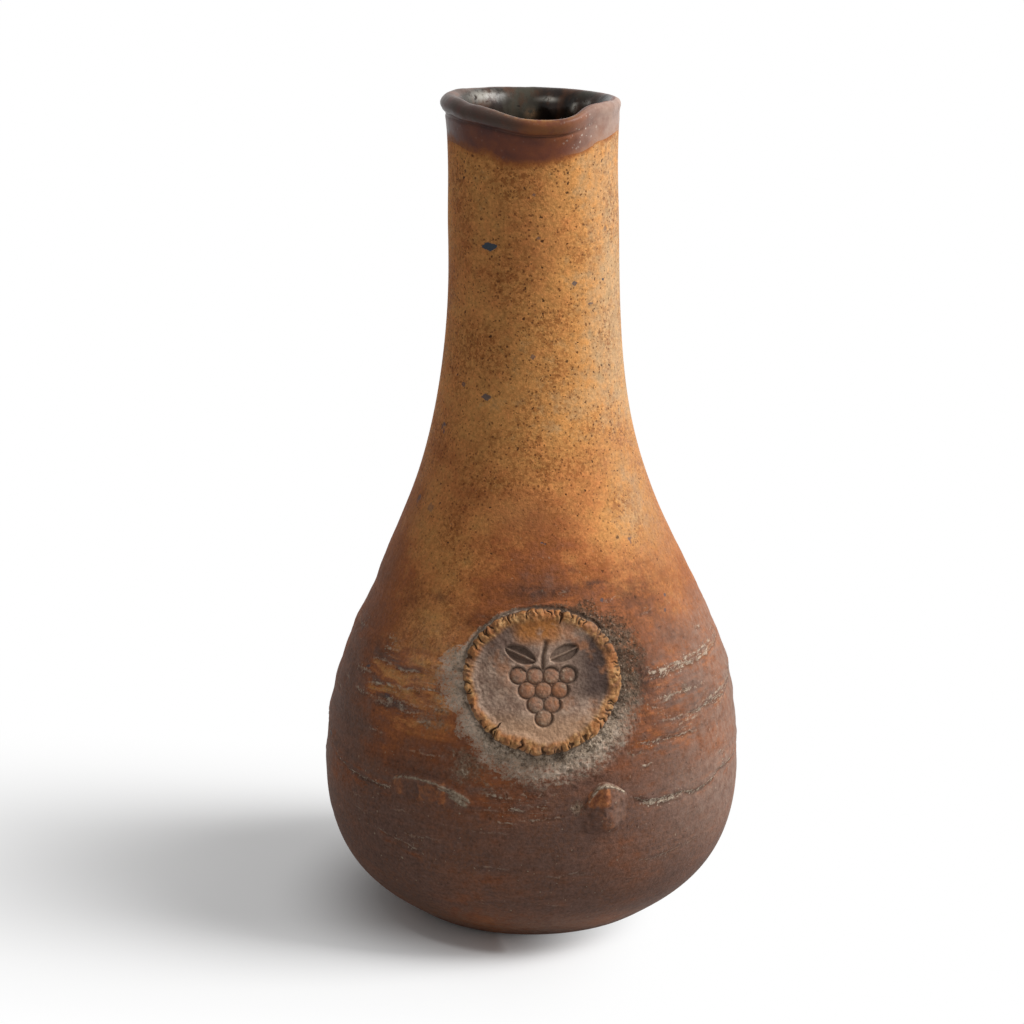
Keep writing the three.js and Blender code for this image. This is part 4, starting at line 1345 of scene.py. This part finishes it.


# Golden border with dark nicks, a grey-brown face warm at the top and pale at the foot, and ash
# along the edges of what is pressed in
# What is pressed in and the nicks in the border are darkened by painted shade.
def medallionMaterial():
    material, point = newMaterial("medallionClay")
    tints = medallion["tints"]
    mottle, patch, grain = noise(point, 3.2, 4, 0.65), noise(point, 8.0, 3, 0.6), noise(point, 0.8, 2, 0.6)
    face = over(
        mixColour(span(mottle, 0.3, 0.7), *tints["face"]), (mark("darkTop") * 0.6, tints["darkTop"]),
        (mark("berry") * span(mottle, 0.36, 0.6) * 0.75, tints["berry"]),
        (mark("warmMiddle") * span(patch, 0.36, 0.6) * 0.7, tints["warmMiddle"]),
        # painted shadow of the border on the right of the face
        (mark("borderShadow") * 0.92, tints["borderShadow"]),
        (mark("warmTop") * span(patch, 0.38, 0.58), tints["warmTop"]),
        (span(patch, 0.55, 0.68) * 0.6, tints["rust"]), (mark("paleFoot") * 0.65, tints["paleFoot"]))
    speckle = blendSum(noise(point, 1.4, 3, 0.7), 0.8, blendSum(patch, 0.5, -0.16))
    gold = over(
        ramp(speckle, tints["gold"]), (span(noise(point, 4.2, 4, 0.7), 0.54, 0.68) * 0.38, tints["bruise"]),
        (span(noise(point, 6.5, 3, 0.6), 0.48, 0.64) * 0.6, tints["rustyGold"]))
    border, press = mark("border"), mark("press")
    worn = border * span(blendSum(mottle, 0.6, patch), 0.55, 0.85)
    pressEdge = span(press, 0.05, 0.4) * span(press, 1.0, 0.5)
    ashLine = ashOn(point, blendSum(pressEdge, 0.50, blendSum(mark("ashSide"), 0.4, -0.06)))
    # painted shade in the nicks of the border
    nicked = span(blendSum(grain, 0.5, mark("nick")), 0.36, 0.66)
    colour = over(
        # painted shadow inside what is pressed in
        face, (blendSum(worn, 0.35, border * 0.65), gold), (span(press, 0.3, 1.0) * 0.7, tints["pressed"]),
        (ashLine["Mask"] * 0.8, ashLine["Color"]), (nicked * 0.8, tints["nick"]),
        # painted shadow round the outer edge
        (mark("edge") * 0.75, tints["edge"]))
    height = blendSum(grain, 0.4, blendSum(mottle, 0.8, ashLine["Height"] * 0.5))
    finishMaterial(toned(colour, blendSum(grain, 0.7, 0.65)), 0.66, height, bumpDepth=0.34, specular=0.15)
    return material


medallionPiece()


# Clay dabs

# Each has a ridge line, as (x, y) in mm from its middle, and a peak on it. Reaches are how far it falls off
# to the left, to the right, above and below. Panels are facets as (left, right, bottom, top, step in mm,
# how burnt). Scratches are pale lines, and ash is a rough spot as (x, y, radius).
# Each dab has a share of painted light that pales its right side.
dabs = {
    "clayDabRight": {
        "node": "clay_dab_right", "bearing": 19.6, "height": 50, "wide": 18, "tall": 18,
        "rise": 3.7, "backLift": -0.9, "spokes": 220, "seed": 91,
        "peak": -0.4, "reaches": (3.7, 3.9, 0.45, 15),
        "ridge": [(-6.0, 0.5), (-4.4, 4.0), (-3.2, 5.8), (-2.0, 7.0), (-0.7, 7.4), (1.2, 7.0),
                  (3.1, 6.2), (6, 4.4), (8.3, 3.2)],
        "panels": [(-5.2, 0.4, 0.4, 6.6, 0.0, 1.0), (-1.2, 3.4, -7.4, -0.6, 0.35, 0.3)], "soft": 1.5,
        "scratches": [], "ash": (-6.2, -0.5, 2.6), "paintedSheen": 0.3, "cream": 0.85,
    },
    "clayDabLeft": {
        "node": "clay_dab_left", "bearing": -28, "height": 53.5, "wide": 31, "tall": 12,
        "rise": 1.5, "backLift": -0.9, "spokes": 220, "seed": 95,
        "peak": -1.0, "reaches": (13, 14.5, 1.2, 9.5),
        "ridge": [(-14.5, 1.4), (-9, 3.2), (-4, 3.7), (3, 3.0), (9, 1.0), (14, -1.6)],
        "panels": [(-13.0, -8.6, -2.2, 2.6, 0.3, 0.5), (-8.6, -3.4, -3.0, 2.4, -0.35, 0.0),
                   (-3.4, 3.2, -2.8, 2.9, 0.45, 0.5), (3.2, 5.6, -2.5, 2.4, 0.15, 0.9)], "soft": 0.6,
        "scratches": [[(2, 2.6), (7, 1.0), (12.8, -2.6)], [(5.5, 0.4), (9, -1.0), (13, -3.2)]],
        "ash": (8.6, -0.8, 4.2), "paintedSheen": 0, "cream": 0.35,
    },
}
dabTints = {"burnt": [(0.20, 0.070, 0.036, 1), (0.55, 0.210, 0.082, 1)], "cream": (0.66, 0.530, 0.400, 1)}


# A lump pressed on. It is highest along its ridge, falls off as a bell above it and as 1 - t^2 below it, and
# to both sides of its peak as exp(-(distance / reach)^1.4). Panels stand higher or lower by a step. The edge
# is sunk under the wall.
def dabPiece(name, dab):
    left, right, up, down = dab["reaches"]

    def reach(turn):
        rag = 0.7 * turnNoise(turn, 12, dab["seed"])
        rag = rag + 0.4 * turnNoise(turn, 30, dab["seed"] + 1)
        return ovalReach(turn, dab["wide"], dab["tall"]) + rag

    def alongLine(u, v, line):
        ends = within(u, line[0][0], line[0][0] + 2, line[-1][0] - 2, line[-1][0])
        return bell(v - curved(u, line), 0.5) * ends

    def panelField(u, v):
        broken = 1.0 * padNoise(u, v, 2.2, dab["seed"] + 4) + 0.5 * padNoise(u, v, 0.9, dab["seed"] + 5)
        step, burnt = np.zeros(u.shape), np.zeros(u.shape)
        for x0, x1, y0, y1, height, share in dab["panels"]:
            soft = dab["soft"]
            across = within(u + broken, x0 - soft, x0 + soft, x1 - soft, x1 + soft)
            panel = across * within(v + broken, y0 - 0.9, y0 + 0.9, y1 - 0.7, y1 + 0.7)
            step += height * panel
            burnt = np.maximum(burnt, share * panel)
        return step, burnt

    def top(u, v, share, turn):
        across = u - dab["peak"]
        side = np.exp(-(np.abs(across) / np.where(across < 0, left, right)) ** 1.4)
        above = v - curved(u, dab["ridge"])
        fall = np.where(above > 0, bell(above, up), 1 - np.clip(-above / down, 0, 1) ** 2)
        mound = dab["rise"] * side * fall
        rough = 0.26 * padNoise(u, v, 2.4, dab["seed"] + 2) + 0.20 * padNoise(u, v, 1.1, dab["seed"] + 3)
        lines = sum(alongLine(u, v, line) for line in [dab["ridge"]] + dab["scratches"])
        detail = rough + 0.3 * lines + panelField(u, v)[0]
        return mound + detail * smooth(share, 0.97, 0.6) - 0.4 * smooth(share, 0.65, 1)

    topShares = np.concatenate([np.linspace(1, 0.02, 60), [0]])
    points, u, v, share, turn = padGrid(dab, reach, np.array([0, 0.6, 1]), topShares, top)
    ashX, ashY, ashSize = dab["ash"]
    marks = {
        "facet": panelField(u, v)[1], "spot": bell(np.hypot(u - ashX, v - ashY), ashSize),
        "ridge": np.max([alongLine(u, v, line) for line in [dab["ridge"]] + dab["scratches"]], 0),
        # painted light paling the right side
        "paintedSheen": dab["paintedSheen"] * smooth(u, 0.5, 4) * smooth(share, 0.95, 0.6),
        "cream": np.full(u.shape, dab["cream"]),
    }
    marks.update(wallMarks(*underPad(dab, u, v))[0])
    piece = gridPiece(name, points, dabClay, marks)
    fit(piece, dab["node"])


# Rough clay like the wall's, burnt orange on the facets that stood proud, with ash and cream along the
# ridge, and ash in the rough spot
# With that share, its right side is paled by painted light.
def dabMaterial():
    material, point = newMaterial("dabClay")
    clay = markedClay(point)
    patch, ridge = noise(point, 2.4, 4, 0.7), mark("ridge")
    orange = span(blendSum(patch, 2.0, mark("facet")), 1.0, 2.2) * 0.95
    burnt = mixColour(span(noise(point, 2.0, 4, 0.7), 0.3, 0.7), *dabTints["burnt"])
    crust = ashOn(point, blendSum(mark("spot"), 0.42, ridge * 0.6))
    cream = mark("cream") * span(noise(point, 1.3, 4, 0.8), 0.40, 0.62) * ridge
    colour = over(
        # painted light paling the right side
        clay["Color"], (orange, burnt), (mark("paintedSheen") * patch, clayLook["dust"]),
        (crust["Mask"], crust["Color"]), (cream, dabTints["cream"]))
    height = blendSum(crust["Height"], 0.9, clay["Height"])
    finishMaterial(colour, 0.72, height, bumpDepth=0.3, specular=0.07)
    return material


dabClay = dabMaterial()
for dabName, dabValues in dabs.items():
    dabPiece(dabName, dabValues)


# Floor, light and camera

studio = {
    "floorHalf": 8.0, "floorSeen": 0.97, "floorBounce": 0.5,     # whiteness to the camera, and to light
    # metres over which the floor turns plain white: beyond the shadow's sides, along it and to the right
    "shadowEnd": (-0.30, 0.040, 0.0), "whiteAcross": (0.028, 0.130), "whiteAlong": (-0.09, -0.28),
    "whiteRight": (-0.01, 0.04),
    # how much paler the shadow is away from the foot, and from where; it is dark all round the foot
    # but not to the right
    "shadowLift": 0.26, "liftAway": (0.045, 0.085), "contact": (0.066, 0.048),
    "contactRight": (0.012, -0.012),
    "fill": 0.31,
    "keyBearing": 80, "keyHeight": 42, "keyDistance": 1.15, "keySize": 0.5, "keyPower": 14.2,
    "target": (0, 0, 0.11),
}
view = {
    "eye": (0, -0.8622, 0.3563), "pitchDown": 15.109, "lens": 102.8, "sensor": 36.0, "shiftX": -0.0195,
}


# 1 for rays that come from the camera or from a mirror or glass, and so should see a white studio
def seenRay():
    path = putNode("LightPath", output="all")
    both = maths("MAXIMUM", path["Is Camera Ray"], path["Is Glossy Ray"])
    return maths("MAXIMUM", both, path["Is Transmission Ray"])


# Distance on the floor from the line that the shadow lies along: the point less its share along the line
def fromAxis(point):
    end = np.array(studio["shadowEnd"])
    along = vectorMaths("DOT_PRODUCT", {0: point, 1: tuple(end / end.dot(end))}, "Value")
    foot = vectorMaths("SCALE", {0: tuple(end), "Scale": maths("MAXIMUM", along, 0.0)})
    return vectorMaths("DISTANCE", {0: point, 1: foot}, "Value")


# A matt floor where the shadow lies and round the foot, and plain white to the eye elsewhere
def floorMaterial():
    material, point = newMaterial("studioFloor")
    seen = seenRay()
    shade = span(fromAxis(point), *reversed(studio["whiteAcross"])) * seen
    x = putNode("SeparateXYZ", {0: point}, "X")
    for ends in (studio["whiteAlong"], studio["whiteRight"]):
        shade = shade * span(x, *reversed(ends))
    reach = vectorMaths("LENGTH", {0: point}, "Value")
    shade = shade * blendSum(span(reach, *studio["liftAway"]), -studio["shadowLift"], 1.0)
    contact = span(reach, *studio["contact"]) * span(x, *studio["contactRight"])
    shade = maths("MAXIMUM", shade, contact * seen)
    greys = [(*[studio[tone]] * 3, 1) for tone in ("floorBounce", "floorSeen")]
    matt = putNode("BsdfDiffuse", {"Color": mixColour(seen, *greys)})
    white = putNode("Emission", {"Color": (1, 1, 1, 1), "Strength": 1.0})
    putNode("OutputMaterial", {0: putNode("MixShader", {0: seen - shade, 1: matt, 2: white})})
    return material


def studioFloor():
    half = studio["floorHalf"]
    mesh = bpy.data.meshes.new("studioFloor")
    corners = [(-half, -half, 0), (half, -half, 0), (half, half, 0), (-half, half, 0)]
    mesh.from_pydata(corners, [], [(0, 1, 2, 3)])
    mesh.materials.append(floorMaterial())
    floor = addObject("studioFloor", mesh)
    floor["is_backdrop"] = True


def studioWorld():
    world = bpy.data.worlds.new("studioWorld")
    world.use_nodes = True
    drawing["tree"] = world.node_tree
    drawing["tree"].nodes.clear()
    strength = mixValue(seenRay(), studio["fill"], 1.0)
    putNode("OutputWorld", {0: putNode("Background", {"Color": (1, 1, 1, 1), "Strength": strength})})
    bpy.context.scene.world = world


# A square softbox to the right, aimed at the middle of the pot
def keyLight():
    turn, up = math.radians(studio["keyBearing"]), math.radians(studio["keyHeight"])
    away = np.array([math.sin(turn) * math.cos(up), -math.cos(turn) * math.cos(up), math.sin(up)])
    lamp = bpy.data.lights.new("keyLight", "AREA")
    lamp.size, lamp.energy = studio["keySize"], studio["keyPower"]
    key = addObject("keyLight", lamp)
    key.location = np.array(studio["target"]) + away * studio["keyDistance"]
    key.rotation_euler = (math.pi / 2 - up, 0, turn)


def mainCamera():
    lens = bpy.data.cameras.new("mainCamera")
    lens.lens, lens.sensor_width, lens.shift_x = view["lens"], view["sensor"], view["shiftX"]
    lens.clip_start, lens.clip_end = 0.05, 50
    camera = addObject("mainCamera", lens)
    camera.location = view["eye"]
    camera.rotation_euler = (math.radians(90 - view["pitchDown"]), 0, 0)
    bpy.context.scene.camera = camera


studioFloor()
studioWorld()
keyLight()
mainCamera()
bpy.context.scene.view_settings.view_transform = "Standard"
print("floor, light and camera set")

sizes = {"cad": [list(corner) for corner in cadBox], "visual": [list(corner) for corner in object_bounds()]}
